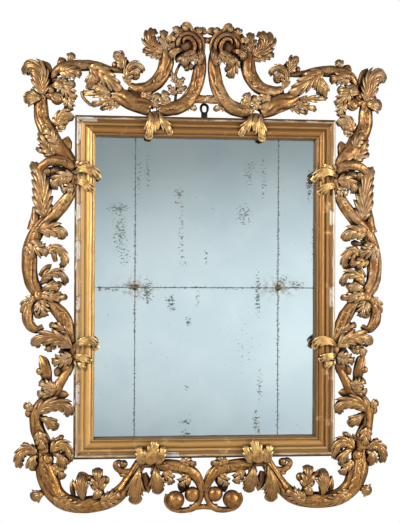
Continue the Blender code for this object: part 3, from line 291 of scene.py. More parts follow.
CREST_HALF = {
    "stem": (
        ((652, 872, 34, 15), (646, 894, 36, 18), (612, 918, 40, 25), (555, 930, 40, 26),
         (480, 930, 38, 22), (410, 918, 36, 14), (352, 914, 34, 12)),
        ((396, 814, 38, 28), (338, 794, 42, 38), (282, 770, 44, 38), (235, 750, 48, 32)),
        ((330, 848, 38, 18), (295, 836, 42, 26), (250, 842, 44, 29), (212, 868, 44, 31),
         (185, 910, 42, 32), (174, 960, 40, 33), (178, 1005, 40, 26)),
        ((208, 746, 46, 26), (160, 752, 46, 30), (112, 766, 46, 32), (74, 798, 46, 31),
         (47, 850, 44, 30), (34, 905, 44, 29), (28, 950, 42, 26), (32, 1000, 42, 22)),
        ((44, 1052, 40, 13), (20, 1052, 40, 14), (0, 1050, 40, 14)),
        ((76, 798, 42, 17), (34, 799, 42, 19), (0, 799, 42, 17)),
    ),
    "bud": (
        (393, 938, 36, 13, 10), (306, 894, 40, 21, 18), (90, 1028, 34, 60, 22),
    ),
    "acanthus": (
        (22, 3, (360, 914, 36), (362, 945, 44), (376, 978, 42), (402, 974, 32)),
        (27, 3, (628, 900, 46), (575, 900, 58), (530, 892, 46)),
        (14, 3, (385, 806, 38), (440, 808, 46), (484, 812, 42), (533, 820, 28)),
        (16, 3, (380, 792, 38), (430, 778, 46), (488, 766, 30)),
        (13, 3, (350, 780, 38), (400, 760, 42), (448, 750, 30)),
        (18, 2, (284, 806, 48), (244, 806, 54), (206, 796, 46)),
        (17, 2, (228, 752, 48), (214, 786, 54), (204, 822, 46)),
        (16, 4, (318, 840, 42), (340, 880, 48), (334, 920, 52), (306, 938, 52), (280, 926, 46),
         (274, 904, 34)),
        (16, 2, (336, 862, 44), (330, 896, 56), (304, 906, 58), (288, 888, 46)),
        (17, 3, (188, 980, 42), (232, 986, 50), (276, 1008, 34)),
        (28, 4, (190, 990, 46), (236, 1018, 58), (248, 1056, 56), (220, 1094, 42)),
        (22, 2, (180, 995, 46), (187, 1048, 54), (184, 1092, 40)),
        (22, 4, (48, 996, 58), (92, 968, 66), (140, 966, 50)),
        (18, 2, (60, 990, 54), (42, 962, 62), (20, 944, 48)),
        (15, 2, (104, 968, 46), (94, 940, 50), (80, 918, 38)),
        (17, 2, (140, 995, 50), (162, 1030, 56), (154, 1066, 46)),
        (23, 2, (156, 762, 44), (182, 798, 54), (166, 830, 42)),
        (15, 2, (96, 776, 42), (64, 764, 46), (34, 758, 36)),
    ),
    "fan": (
        (21, 2, (582, 935, 40), (580, 960, 46), (566, 984, 36)),
        (28, 3, (488, 930, 44), (487, 880, 56), (497, 826, 42)),
        (19, 2, (118, 1062, 50), (134, 1084, 58), (124, 1108, 46)),
        (18, 2, (84, 1074, 52), (96, 1098, 60), (78, 1112, 48)),
        (17, 2, (50, 1062, 48), (38, 1088, 54), (52, 1106, 44)),
        (26, 3, (240, 748, 58), (232, 702, 70), (238, 655, 72), (246, 620, 64)),
        (22, 3, (202, 748, 58), (186, 702, 70), (162, 668, 71), (144, 642, 64)),
    ),
    "frond": (
        (31, 4, (505, 928, 46), (450, 897, 56), (405, 858, 56), (352, 816, 44)),
    ),
    "tongue": (
        (11, 1, (352, 918, 36), (343, 945, 38), (344, 968, 30)),
        (17, 1, (612, 920, 40), (616, 948, 44), (625, 966, 34)),
        (15, 1, (48, 1072, 42), (22, 1092, 46), (0, 1082, 40)),
        (13, 1, (220, 742, 60), (211, 700, 80), (206, 662, 78)),
    ),
    "reed": (
        (16, 3, (42, 938, 58), (26, 976, 64), (34, 1018, 60)),
    ),
}

# Leaves that fill hollows of the right side only
SIDE_RIGHT = {
    "acanthus": (
        (27, 2, (728, 128, 28), (672, 108, 34), (612, 102, 28)),
        (15, 2, (722, 196, 30), (684, 188, 36), (640, 194, 30)),
        (23, 2, (628, -258, 34), (676, -262, 38), (712, -292, 30)),
    ),
}

# The sprig and the tendril in the left half of the crest, which the right half has lost
CREST_LEFT = {
    "stem": (
        ((130, 790, 36, 6), (128, 850, 38, 6), (134, 900, 38, 6), (116, 948, 40, 6)),
        ((528, 818, 34, 7), (518, 794, 34, 7), (484, 764, 34, 7)),
    ),
    "acanthus": (
        (20, 3, (400, 820, 40), (450, 838, 48), (504, 846, 36)),
        (15, 2, (94, 968, 46), (76, 946, 50), (62, 924, 38)),
    ),
    "frond": (
        (14, 3, (130, 812, 40), (150, 838, 48), (164, 858, 36)),
        (15, 3, (128, 842, 42), (112, 872, 50), (96, 890, 36)),
        (14, 3, (130, 862, 42), (146, 892, 50), (160, 920, 38)),
        (13, 3, (126, 822, 40), (104, 840, 48), (84, 854, 36)),
    ),
}

# The larger leaves of the crest's right half
CREST_RIGHT = {
    "acanthus": (
        (21, 3, (196, 982, 42), (246, 990, 48), (292, 1004, 34)),
        (25, 3, (206, 1008, 44), (256, 1028, 52), (270, 1060, 48), (250, 1092, 38)),
        (25, 3, (112, 996, 46), (112, 946, 54), (96, 890, 40)),
    ),
    "fan": (
        (25, 3, (490, 912, 42), (506, 862, 50), (512, 818, 38)),
    ),
}

# Ribs of the two leaves that curl round each of the crest's flowers: angles of the foot and
# the tip, radii at the foot, a third, two thirds and the tip, greatest height and half width
FLOWER = (94.0, 1026.0)
CURLED_RIBS = (
    (236.0, -40.0, (80, 74, 58, 26), 54.0, 12.0),
    (246.0, -20.0, (72, 56, 42, 18), 64.0, 10.5),
    (276.0, 10.0, (60, 38, 28, 8), 72.0, 8.5),
    (-66.0, 128.0, (62, 66, 70, 74), 52.0, 11.0),
    (-58.0, 110.0, (50, 50, 54, 60), 62.0, 9.5),
    (-40.0, 84.0, (38, 34, 36, 46), 70.0, 8.0),
)
RIB_SPOTS = 8

# Leaves that spread from the flower's heart to its outer side and its foot
FLOWER_LEAVES = {
    "reed": (
        (19, 4, (104, 1004, 56), (142, 992, 68), (164, 958, 50)),
        (18, 4, (92, 990, 56), (102, 958, 68), (84, 926, 50)),
        (18, 3, (130, 1036, 56), (160, 1050, 66), (176, 1024, 50)),
        (15, 3, (56, 1074, 52), (82, 1108, 58), (116, 1106, 44)),
    ),
}

# Carving kit


def wall_height(height):
    """The row's Y of a point that stands this far off the wall."""
    return BACK_Y - height


def ease(value, start, end):
    """A smooth rise from 0 to 1 between two values."""
    part = min(max((value - start) / (end - start), 0.0), 1.0)
    return part * part * (3 - 2 * part)


def stray(out, up, side):
    """How far to the right of its drawn place the hand-cut carving lies."""
    beside = ease(out, DRAWN_W / 2, DRAWN_W / 2 + SIDE_EASE)
    middle = (RIGHT_SWAY if side > 0 else LEFT_SWAY) * (1 - ease(abs(up), *SWAY_EASE))
    foot = FOOT_LEAN * ease(-up, *FOOT_EASE)
    return CREST_LEAN * ease(up, *CREST_EASE) + (foot + middle) * beside


def place(out, up, off_wall, side):
    """A drawn point in metres: it follows the frame's size, and the ornament's beyond it."""
    half_w, half_h = DRAWN_W / 2, DRAWN_H / 2
    x = min(out, half_w) / half_w * FRAME_W / 2
    x += max(out - half_w, 0.0) / 1000 * ORNAMENT_REACH * (RIGHT_REACH if side > 0 else 1.0)
    z = min(abs(up), half_h) / half_h * FRAME_H / 2
    z += max(abs(up) - half_h, 0.0) / 1000 * ORNAMENT_REACH
    x = FRAME_X + side * x + stray(out, up, side)
    return (x, wall_height(off_wall / 1000), FRAME_Z + math.copysign(z, up))


def smooth_line(points, count):
    """Points evenly spaced along a smooth curve through the given ones."""
    keys = np.array(points, float)
    ends = [2 * keys[0] - keys[1], 2 * keys[-1] - keys[-2]]
    around = np.vstack([ends[0], keys, ends[1]])
    dense = []
    for number in range(1, len(around) - 2):
        p0, p1, p2, p3 = around[number - 1:number + 3]
        for t in np.linspace(0, 1, 16, endpoint=False):
            dense.append(0.5 * (2 * p1 + (p2 - p0) * t + (2 * p0 - 5 * p1 + 4 * p2 - p3) * t * t
                                + (3 * p1 - p0 - 3 * p2 + p3) * t ** 3))
    dense = np.array([*dense, keys[-1]])
    travel = np.r_[0.0, np.cumsum(np.linalg.norm(np.diff(dense[:, :3], axis=0), axis=1))]
    wanted = np.linspace(0, travel[-1], count)
    return np.stack([np.interp(wanted, travel, dense[:, k]) for k in range(dense.shape[1])], 1)


def directions(line):
    """For each point of a line: across it and out of the wall."""
    along = np.gradient(line, axis=0)
    along /= np.linalg.norm(along, axis=1)[:, None]
    across = np.cross(along[0], [0.0, -1.0, 0.0])
    across /= np.linalg.norm(across)
    sideways = []
    for direction in along:
        across = across - direction * across.dot(direction)
        across /= np.linalg.norm(across)
        sideways.append(across)
    sideways = np.array(sideways)
    return sideways, np.cross(sideways, along)


def length_of(line):
    return np.linalg.norm(np.diff(line[:, :3], axis=0), axis=1).sum()


def valley(distance, width):
    return np.exp(-(distance / width) ** 2)


def shell(loops, cavity):
    """Points, quads, triangles and cavity values of closed loops with a fan at each end."""
    rings, sides = loops.shape[:2]
    points = np.vstack([loops.reshape(-1, 3), loops[0].mean(axis=0), loops[-1].mean(axis=0)])
    depth = np.r_[cavity.reshape(-1), cavity[0].mean(), cavity[-1].mean()]
    ring = np.arange(rings - 1)[:, None] * sides
    side = np.arange(sides)[None, :]
    after = (side + 1) % sides
    quads = np.stack([ring + side, ring + sides + side, ring + sides + after, ring + after], -1)
    start = (rings - 1) * sides
    side, after = side[0], after[0]
    low = np.stack([side, after, np.full(sides, rings * sides)], -1)
    high = np.stack([start + after, start + side, np.full(sides, rings * sides + 1)], -1)
    quads = quads.reshape(-1, 4)
    triangles = np.vstack([low, high])
    a, b, c, d = (points[quads[:, k]] for k in range(4))
    middle = points.mean(axis=0)
    volume = np.einsum("ij,ij->", (a + b + c + d) / 4 - middle, np.cross(c - a, d - b))
    if volume < 0:
        quads, triangles = quads[:, ::-1], triangles[:, ::-1]
    return points, quads, triangles, depth


def stem_shell(row, side):
    """A carved stalk: round, flatter at the back, with lengthwise hollows between its reeds."""
    spots = [(*place(*point, side), radius / 1000) for *point, radius in row]
    coarse = smooth_line(spots, 50)
    count = int(np.clip(length_of(coarse) / STEM_CELL, 14, 170))
    line = smooth_line(spots, count)
    across, out = directions(line[:, :3])
    sides = int(np.clip(2 * math.pi * line[:, 3].mean() / STEM_CELL * 1.5, 22, 52))
    turn = np.linspace(0, 2 * math.pi, sides, endpoint=False)[None, :]
    t = np.linspace(0, 1, count)[:, None]
    radius = line[:, 3][:, None]
    groove = np.zeros((count, sides))
    twist = 0.30 * np.sin(2.6 * math.pi * t + row[0][0])
    for number in range(REEDS + 1):
        angle = math.pi * (0.10 + 0.80 * number / REEDS) + twist
        depth = np.clip(0.45 + 0.55 * np.sin(2.3 * number + row[0][1] + 8 * t), 0.1, 1)
        near = turn - angle
        groove = np.maximum(groove, depth * valley(near, np.where(near > 0, 0.10, 0.26)))
    swell = 1 + 0.035 * np.sin(9 * t + row[0][1]) * np.cos(turn)
    bulge = radius * swell * (1 - 0.22 * groove)
    flat = np.where(np.sin(turn) > 0, STEM_DEPTH, STEM_DEPTH * 0.8)
    loops = (line[:, None, :3] + (bulge * np.cos(turn))[..., None] * across[:, None]
             + (bulge * flat * np.sin(turn))[..., None] * out[:, None])
    return shell(loops, groove)


def flute(t, edge, leave, arrive, bend):
    """A hollow that leaves the rib at one place along the leaf and sweeps out to a notch."""
    part = np.clip((t - leave) / (arrive - leave), 0, 1)
    gap = edge - (0.07 + 0.93 * part ** bend)
    depth = valley(gap, np.where(gap < 0, 0.050, 0.125))
    return depth * np.clip((t - leave) / 0.10, 0, 1) * valley(np.maximum(t - arrive, 0), 0.03)


class Spine:
    """A leaf's midline with its sideways and forward directions, read at any share of it."""

    def __init__(self, points, side):
        self.line = smooth_line([place(*point, side) for point in points], 90)
        self.across, self.out = directions(self.line)
        self.length = length_of(self.line)

    def at(self, reach):
        travel = np.clip(reach, 0, 1) * (len(self.line) - 1)
        low = np.clip(travel.astype(int), 0, len(self.line) - 2)
        rest = (travel - low)[..., None]
        return [values[low] * (1 - rest) + values[low + 1] * rest
                for values in (self.line, self.across, self.out)]


def blade_shell(spine, half_width, lobes, form):
    """The body of a leaf, with flutes that sweep from the rib out to its notches."""
    widths, notch, lean, cup, depth = LEAF_FORMS[form]
    stations = int(np.clip(spine.length / LEAF_CELL, 4 * lobes + 8, 7 * lobes + 20))
    columns = int(np.clip(2.0 * half_width / LEAF_CELL, 11, 19)) // 2 * 2 + 1
    t = np.linspace(0, 1, stations)[:, None]
    v = np.sin(np.linspace(-math.pi / 2, math.pi / 2, columns) * 0.80)[None, :]
    v = v / v.max()
    edge = np.abs(v)
    taper = np.interp(t, WIDTHS_AT, widths)
    taper = taper * np.sqrt(np.clip(1 - np.clip((t - 0.82) / 0.19, 0, 1) ** 2, 0.03, 1))
    phase = t * lobes
    part = phase - np.floor(phase)
    cusp = np.clip(np.sin(math.pi * part ** 1.3), 0, 1) ** 0.6
    cusp = np.where((phase < 0.6) | (phase > lobes - 0.4), 1.0, cusp)
    half = half_width * taper * (1 - notch * (1 - cusp))
    reach = t + lean / lobes * edge ** 1.6 * np.sqrt(1 - t)
    main = np.zeros((stations, columns))
    for number in range(1, lobes):
        arrive = number / lobes
        main = np.maximum(main, flute(t, edge, 0.42 * arrive, arrive, 1.5))
    if form == "tongue":
        main = np.clip((t - 0.25) / 0.4, 0, 1) * valley(edge - 0.40, 0.10)
    rib = valley(v, 0.06) * (1 - 0.5 * t)
    lift = half_width * (cup * v ** 2 - depth * main - 0.10 * rib - 0.34 * edge ** 6)
    middle, sideways, forward = spine.at(reach)
    front = middle + sideways * (v * half)[..., None] + forward * lift[..., None]
    thickness = LEAF_THICK * (0.30 + 0.70 * (1 - v ** 2)) * (1 - 0.35 * t)
    back = (front - forward * thickness[..., None])[:, ::-2][:, 1:-1]
    loops = np.concatenate([front, back], axis=1)
    cavity = np.clip(main + 0.6 * rib, 0, 1)
    return shell(loops, np.concatenate([cavity, 0 * back[..., 0] + 0.6], axis=1))


def lobe_shell(spine, start, end, sideways, half_width, rise, flare=1.75):
    """One long lobe: it runs along the rib, then flares out to a rounded, drooping tip."""
    stations = int(np.clip(spine.length * (end - start) / LEAF_CELL * 0.8, 8, 15))
    s = np.linspace(0, 1, stations)
    middle, across, out = spine.at(start + (end - start) * s ** 0.9)
    height = rise * (0.15 + 0.85 * np.sin(math.pi * np.clip(s * 1.12, 0, 1)) ** 0.8)
    height = height - 0.9 * rise * np.clip((s - 0.86) / 0.14, 0, 1) ** 2
    path = middle + across * (sideways * s ** flare)[:, None] + out * height[:, None]
    along = np.gradient(path, axis=0)
    along /= np.linalg.norm(along, axis=1)[:, None]
    broad = np.cross(along, out)
    broad /= np.linalg.norm(broad, axis=1)[:, None]
    face = np.cross(broad, along)
    face *= np.sign((face * out).sum(axis=1))[:, None]
    width = half_width * np.interp(s, (0, 0.3, 0.68, 0.88, 1), (0.40, 0.75, 1.0, 0.70, 0.06))
    turn = np.linspace(0, math.pi, 9)
    v = np.r_[np.cos(turn), -0.5, 0.5]
    crease = valley(np.abs(v) - 0.02, 0.28)
    arch = np.r_[0.78 * np.sin(turn), -0.45, -0.45]
    arch[:9] -= 0.20 * crease[:9] * (np.abs(v[:9]) < 0.9)
    loops = (path[:, None] + broad[:, None] * (width[:, None] * v[None])[..., None]
             + face[:, None] * (width[:, None] * arch[None])[..., None])
    cavity = np.r_[1.0, 0.35, 0.0, 0.1, 0.55, 0.1, 0.0, 0.35, 1.0, 1.0, 1.0]
    return shell(loops, np.repeat(cavity[None], stations, axis=0))


def leaf_shells(row, form, side):
    """An acanthus leaf: a fluted body with long lobes that overlap along both its edges."""
    half_width, lobes, *points = row
    spine = Spine(points, side)
    half_width = half_width / 1000 * LEAF_FULLNESS
    if form == "tongue":
        return [blade_shell(spine, half_width, 1, form)]
    if form == "reed":
        shells = [blade_shell(spine, half_width * 0.50, 2, "fan")]
        for number in range(lobes):
            share = 2 * (number + 0.5) / lobes - 1
            shells.append(lobe_shell(spine, 0.0, 1 - 0.22 * share ** 2, half_width * 0.86 * share,
                                     0.80 * half_width / lobes, half_width * 0.52, 0.80))
        return shells
    widths = LEAF_FORMS[form][0]
    shells = [blade_shell(spine, half_width * BODY_SHARE, lobes + 1, form)]
    count = lobes + 1
    if form == "fan":
        count = int(np.clip(round(half_width / 0.0105), 3, 5))
        for number in range(2 * count - 1):
            share = (number - count + 1) / (count - 0.6)
            end = 1 - 0.34 * abs(share) ** 1.6
            wide = half_width * 0.98 * share
            shells.append(lobe_shell(spine, 0.06, end, wide, 0.80 * half_width / count,
                                     half_width * (0.34 - 0.16 * abs(share))))
        return shells
    span = FLARE[form]
    if half_width < NARROW_LEAF:
        count = lobes
    for number in range(count):
        end = (number + 1.0) / (count + 0.45)
        end = min(end + 0.08, 0.97)
        start = max(end - span, 0.0)
        wide = half_width * np.interp(end, WIDTHS_AT, widths)
        width = min(spine.length / count * 0.34, half_width * 0.36)
        for turn in (-1, 1):
            shells.append(lobe_shell(spine, start, end, turn * wide, width, half_width * 0.30))
    shells.append(lobe_shell(spine, 0.30, 1.0, 0.0, min(half_width * 0.34, spine.length * 0.12),
                             half_width * 0.42))
    return shells


def curled_ribs():
    """The ribs that curl round the heart of a crest flower."""
    rows = []
    for foot, tip, radii, height, half_width in CURLED_RIBS:
        row = []
        for share in np.linspace(0, 1, RIB_SPOTS):
            angle = math.radians(foot + (tip - foot) * share)
            radius = np.interp(share, (0, 0.33, 0.68, 1), radii)
            width = half_width * np.interp(share, (0, 0.3, 0.7, 1), (0.45, 1.0, 0.95, 0.40))
            row.append((FLOWER[0] + radius * math.cos(angle), FLOWER[1] + radius * math.sin(angle),
                        height * (0.74 + 0.26 * math.sin(math.pi * share)), width))
        rows.append(row)
    return rows


def sheath_shell(row, start, end, side):
    """A pointed leaf that wraps the front of a stalk over part of its length."""
    line = smooth_line(row, 60)
    picked = line[int(start * 59):int(end * 59) + 1][::6]
    spot = [(x, z, off + radius * 0.80) for x, z, off, radius in picked]
    return blade_shell(Spine(spot, side), picked[:, 3].mean() / 1000 * 1.04, 4, "sheath")


def bud_shell(row, side):
    """A boss with a spiral hollow, as the end of a scroll."""
    *spot, radius, depth = row
    centre = np.array(place(*spot, side))
    radius, depth = radius / 1000, depth / 1000
    rings = int(np.clip(3.6 * radius / LEAF_CELL, 14, 44))
    tilt = np.linspace(-math.pi / 2 + 0.1, math.pi / 2 - 0.1, rings)[:, None]
    turn = np.linspace(0, 2 * math.pi, 2 * rings, endpoint=False)[None, :]
    wave = np.abs(np.sin(turn + side * 2.9 * tilt + spot[0]))
    groove = valley(wave, 0.34) * np.clip(np.cos(tilt) * 1.6, 0, 1) * np.clip(tilt + 0.5, 0, 1)
    size = 1 - (0.18 if radius < PLAIN_BOSS else 0.025) * groove
    loops = np.stack([
        centre[0] + radius * size * np.cos(tilt) * np.cos(turn),
        centre[1] - depth * size * np.sin(tilt) + 0 * turn,
        centre[2] + radius * size * np.cos(tilt) * np.sin(turn),
    ], axis=-1)
    return shell(loops, groove)


def element_shells(kind, row, side):
    if kind == "bud":
        return [bud_shell(row, side)]
    if kind not in ("stem", "rib"):
        return leaf_shells(row, kind, side)
    sheaths = SHEATHS if kind == "stem" and len(row) >= LEAST_SHEATHED else ()
    return [stem_shell(row, side)] + [sheath_shell(row, *span, side) for span in sheaths]


def hand_marks(points, size, cell, seed):
    """Small uneven moves of the surface, as a gouge leaves them."""
    draw = np.random.default_rng(seed)
    moved = np.zeros_like(points)
    for _ in range(9):
        wave = draw.normal(size=3) / cell
        shift = draw.normal(size=3)
        moved += np.sin(points @ wave + draw.uniform(0, 6.28))[:, None] * shift
    return points + moved * size / 3


def placed(name, data):
    """An object that shows the data, linked into the scene."""
    made = bpy.data.objects.new(name, data)
    bpy.context.scene.collection.objects.link(made)
    return made


def add_values(mesh, **layers):
    """Attributes with one value for each point of the mesh."""
    for label, values in layers.items():
        layer = mesh.attributes.new(label, "FLOAT", "POINT")
        layer.data.foreach_set("value", values.astype(np.float32))


def mesh_object(name, shells, look):
    """One object made of closed shells, with each point's cavity as an attribute."""
    corners, starts = [], []
    count, loop_count = 0, 0
    for spots, quads, triangles, _ in shells:
        for faces in (quads, triangles):
            corners.append((faces + count).reshape(-1))
            starts.append(loop_count + np.arange(len(faces)) * faces.shape[1])
            loop_count += faces.size
        count += len(spots)
    mesh = bpy.data.meshes.new(name)
    corners = np.concatenate(corners).astype(np.int32)
    starts = np.concatenate(starts).astype(np.int32)
    points = np.vstack([shell_parts[0] for shell_parts in shells])
    mesh.vertices.add(len(points))
    mesh.vertices.foreach_set("co", points.astype(np.float32).reshape(-1))
    mesh.loops.add(len(corners))
    mesh.loops.foreach_set("vertex_index", corners)
    mesh.polygons.add(len(starts))
    mesh.polygons.foreach_set("loop_start", starts)
    mesh.update(calc_edges=True)
    mesh.validate()
    mesh.shade_smooth()
    add_values(mesh, cavity=np.concatenate([shell_parts[3] for shell_parts in shells]))
    mesh.materials.append(look)
    return placed(name, mesh)


def keep_in_depth(points):
    """The carving stays in front of the wall and eases off before the greatest depth."""
    height = BACK_Y - points[:, 1]
    over = np.maximum(height - EASED_FROM, 0.0)
    room = DEEPEST - EASED_FROM
    height = np.minimum(height, EASED_FROM) + room * (1 - np.exp(-over / room))
    points[:, 1] = BACK_Y - np.maximum(height, LEAST_OFF_WALL)
    return points


def carved_piece(name, side, tables, centre, look, seed):
    """One half of a carved section, drawn from its tables."""
    shells = []
    for kind, rows in (item for table in tables for item in table.items()):
        for row in rows:
            for points, quads, triangles, depth in element_shells(kind, row, side):
                points = hand_marks(points + (centre, 0.0, 0.0), *GOUGE_MARKS, seed)
                shells.append((keep_in_depth(points), quads, triangles, depth))
    return mesh_object(name, shells, look)


# Frame, glass and ironwork


def rail_section():
    """The rail's section as (distance in from the outer edge, height above the back, cavity)."""
    points = [(0.0, 0.0, 0.0), (0.0, 0.012, 0.0), (0.0, 0.030, 0.0)]
    inward = 0.0
    for share, start, end, rise, facets in MEMBERS:
        width = share * RAIL_FACE
        for step in range(facets + 1):
            part = step / facets
            height = start + (end - start) * part + rise * math.sin(math.pi * part)
            hollow = 1.0 if share < NARROW_MEMBER else 0.0
            points.append((inward + width * part, height, hollow))
        inward += width
    seat, rebate = GLASS_FRONT + SEAT_GAP, RAIL_FACE - SIGHT_LIP
    points += [(RAIL_FACE, seat, 1.0), (rebate, seat, 1.0), (rebate, 0.0, 0.0)]
    return points + [(RAIL_FACE / 2, 0.0, 0.0)]


def corner_point(side_x, side_z, inward, height):
    return np.stack([
        FRAME_X + side_x * (FRAME_W / 2 - inward),
        wall_height(height),
        FRAME_Z + side_z * (FRAME_H / 2 - inward),
    ], axis=-1)


# Patches of the rails' outer band where the white ground shows: rail, distance along it from
# its first corner and half length, in metres
BARE_GROUND = (
    ("rail_left", 0.275, 0.060),
    ("rail_left", 0.650, 0.042),
    ("rail_left", 0.875, 0.050),
    ("rail_left", 1.040, 0.045),
    ("rail_left", 1.370, 0.055),
    ("rail_top", 0.050, 0.055),
    ("rail_right", 0.420, 0.045),
    ("rail_right", 0.760, 0.060),
    ("rail_bottom", 0.700, 0.040),
)


def rail_piece(name, start, end, pale, chalky, look, seed):
    """One mitred rail with slightly worn arrises, replacing the solid of the same name."""
    section = np.array(rail_section())
    inward, height, hollow = section.T
    t = np.linspace(0, 1, RAIL_STATIONS)[:, None, None]
    ends = [corner_point(*signs, inward, height) for signs in (start, end)]
    loops = ends[0][None] * (1 - t) + ends[1][None] * t
    along = (ends[1] - ends[0])[:1]
    along = along / np.linalg.norm(along)
    loops = loops - along * HALF_MITRE_GAP * np.sign(t - 0.5)
    flat = loops.reshape(-1, 3)
    worn = hand_marks(flat, *PLANE_MARKS, seed).reshape(loops.shape)
    keep = (height < 0.001) | (inward < 0.0002)
    worn[:, keep] = loops[:, keep]
    worn[0], worn[-1] = loops[0], loops[-1]
    points, quads, triangles, depth = shell(worn, np.repeat(hollow[None], RAIL_STATIONS, axis=0))
    made = mesh_object(name, [(points, quads, triangles, depth)], look)
    rounds = np.r_[np.tile(inward, RAIL_STATIONS), 0.04, 0.04]
    travel = np.linalg.norm((points - points[0]) * np.abs(along), axis=1)
    bare = np.zeros(len(points))
    for rail, middle, half_length in BARE_GROUND:
        if name.endswith(rail):
            bare = np.maximum(bare, np.exp(-((travel - middle) / half_length) ** 4))
    add_values(made.data, inward=rounds, travel=travel, pale=np.full(len(points), pale), bare=bare,
               chalky=np.full(len(points), chalky), height=BACK_Y - points[:, 1])
    made.data.set_sharp_from_angle(angle=SHARP_ANGLE)
    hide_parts(name.replace("moulded_", ""))
    return made


# Places of the worst foxing on the glass: x and z from the frame's centre, half width,
# half height and strength, in metres
FOXING = (
    (-0.375, 0.335, 0.045, 0.020, 1.00),
    (-0.365, 0.230, 0.030, 0.090, 0.80),
    (-0.345, 0.130, 0.025, 0.050, 0.55),
    (-0.285, 0.480, 0.012, 0.110, 0.60),
    (-0.250, 0.500, 0.012, 0.080, 0.70),
    (-0.115, 0.400, 0.022, 0.020, 0.95),
    (-0.115, 0.360, 0.020, 0.010, 0.95),
    (-0.105, 0.240, 0.014, 0.170, 0.50),
    (-0.100, 0.110, 0.014, 0.030, 0.60),
    (0.165, 0.310, 0.032, 0.050, 0.75),
    (0.190, 0.500, 0.030, 0.080, 0.55),
    (0.250, 0.470, 0.015, 0.130, 0.50),
    (0.450, 0.440, 0.014, 0.060, 1.00),
    (0.470, 0.180, 0.012, 0.120, 0.70),
    (0.225, -0.030, 0.012, 0.090, 1.00),
    (0.235, -0.420, 0.010, 0.080, 0.75),
    (-0.250, -0.020, 0.022, 0.050, 1.10),
    (-0.420, -0.010, 0.060, 0.012, 0.80),
    (-0.310, 0.000, 0.050, 0.014, 0.95),
    (0.395, 0.010, 0.030, 0.018, 1.00),
    (0.335, 0.030, 0.018, 0.022, 0.95),
    (-0.150, -0.060, 0.018, 0.026, 1.00),
    (-0.145, -0.090, 0.016, 0.014, 1.00),
    (-0.075, -0.150, 0.014, 0.022, 1.00),
    (-0.035, -0.040, 0.008, 0.050, 0.70),
    (-0.080, -0.430, 0.012, 0.010, 1.00),
    (-0.080, -0.572, 0.024, 0.010, 1.15),
    (-0.080, -0.630, 0.022, 0.018, 1.05),
    (0.220, -0.580, 0.012, 0.060, 1.00),
    (0.160, -0.250, 0.120, 0.200, 0.22),
    (-0.380, -0.300, 0.080, 0.200, 0.18),
    (0.000, 0.250, 0.300, 0.250, 0.18),
)
# A few long scratches of lost silvering: x and z from the frame's centre, half length
SCRATCHES = ((0.002, 0.130, 0.034), (0.224, 0.010, 0.040), (0.232, -0.600, 0.055))
STAIN_RADIUS = 0.075


def glass_plate(node, look):
    """A plate as a fine grid, so that its foxing and stains follow the real places."""
    low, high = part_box(node)
    columns = int((high.x - low.x) / GLASS_CELL)
    rows = int((high.z - low.z) / GLASS_CELL)
    x = np.linspace(low.x, high.x, columns)
    z = np.linspace(low.z, high.z, rows)
    grid_x, grid_z = np.meshgrid(x, z)
    front = np.stack([grid_x, grid_x * 0 + low.y, grid_z], -1).reshape(-1, 3)
    ring = np.r_[
        np.arange(columns),
        np.arange(1, rows) * columns + columns - 1,
        (rows - 1) * columns + np.arange(columns - 2, -1, -1),
        np.arange(rows - 2, 0, -1) * columns,
    ]
    back = front[ring] + (0.0, high.y - low.y, 0.0)
    points = np.vstack([front, back])
    cell = np.arange(rows - 1)[:, None] * columns + np.arange(columns - 1)[None, :]
    quads = np.stack([cell, cell + 1, cell + columns + 1, cell + columns], -1).reshape(-1, 4)
    rim = np.arange(len(ring))
    after = (rim + 1) % len(ring)
    base = len(front)
    sides = np.stack([ring[rim], base + rim, base + after, ring[after]], -1)
    quads = np.vstack([quads, sides])
    closing = base + rim[::-1]
    u, w = points[:, 0] - FRAME_X, points[:, 2] - FRAME_Z
    foxing = np.zeros(len(points))
    for spot_x, spot_z, half_x, half_z, strength in FOXING:
        away = ((u - spot_x) / half_x) ** 2 + ((w - spot_z) / half_z) ** 2
        foxing = np.maximum(foxing, strength * np.exp(-0.9 * away))
    for spot_x, spot_z, half_length in SCRATCHES:
        away = ((u - spot_x) / 0.005) ** 2 + ((w - spot_z) / half_length) ** 4
        foxing = np.maximum(foxing, 1.1 * np.exp(-away))
    edge = np.minimum.reduce([
        points[:, 0] - low.x, high.x - points[:, 0], points[:, 2] - low.z, high.z - points[:, 2]])
    stain = np.zeros(len(points))
    for node_name in ("plate_button_left", "plate_button_right"):
        corner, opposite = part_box(node_name)
        pin_x, pin_z = (corner.x + opposite.x) / 2, (corner.z + opposite.z) / 2
        away = np.hypot((points[:, 0] - pin_x) / 1.25, (points[:, 2] - pin_z) * 1.4)
        stain = np.maximum(stain, np.exp(-(away / STAIN_RADIUS) ** 2 * 2.2))
    mesh = bpy.data.meshes.new(f"glass_{node}")
    faces = [tuple(face) for face in quads.tolist()] + [tuple(closing.tolist())]
    mesh.from_pydata(points.tolist(), [], faces)
    mesh.update()
    add_values(mesh, foxing=foxing, edge=edge, stain=stain)
    mesh.materials.append(look)
    made = placed(f"glass_{node}", mesh)
    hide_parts(node)
    return made


# Rings of a button's rosette: share of its radius and share of its rise
ROSETTE = ((1.0, 0.0), (1.0, 0.30), (0.93, 0.45), (0.80, 0.50), (0.66, 0.66), (0.50, 0.74),
           (0.38, 0.70), (0.30, 0.88), (0.18, 0.98), (0.05, 1.0))
BUTTON_PIN = 0.0032


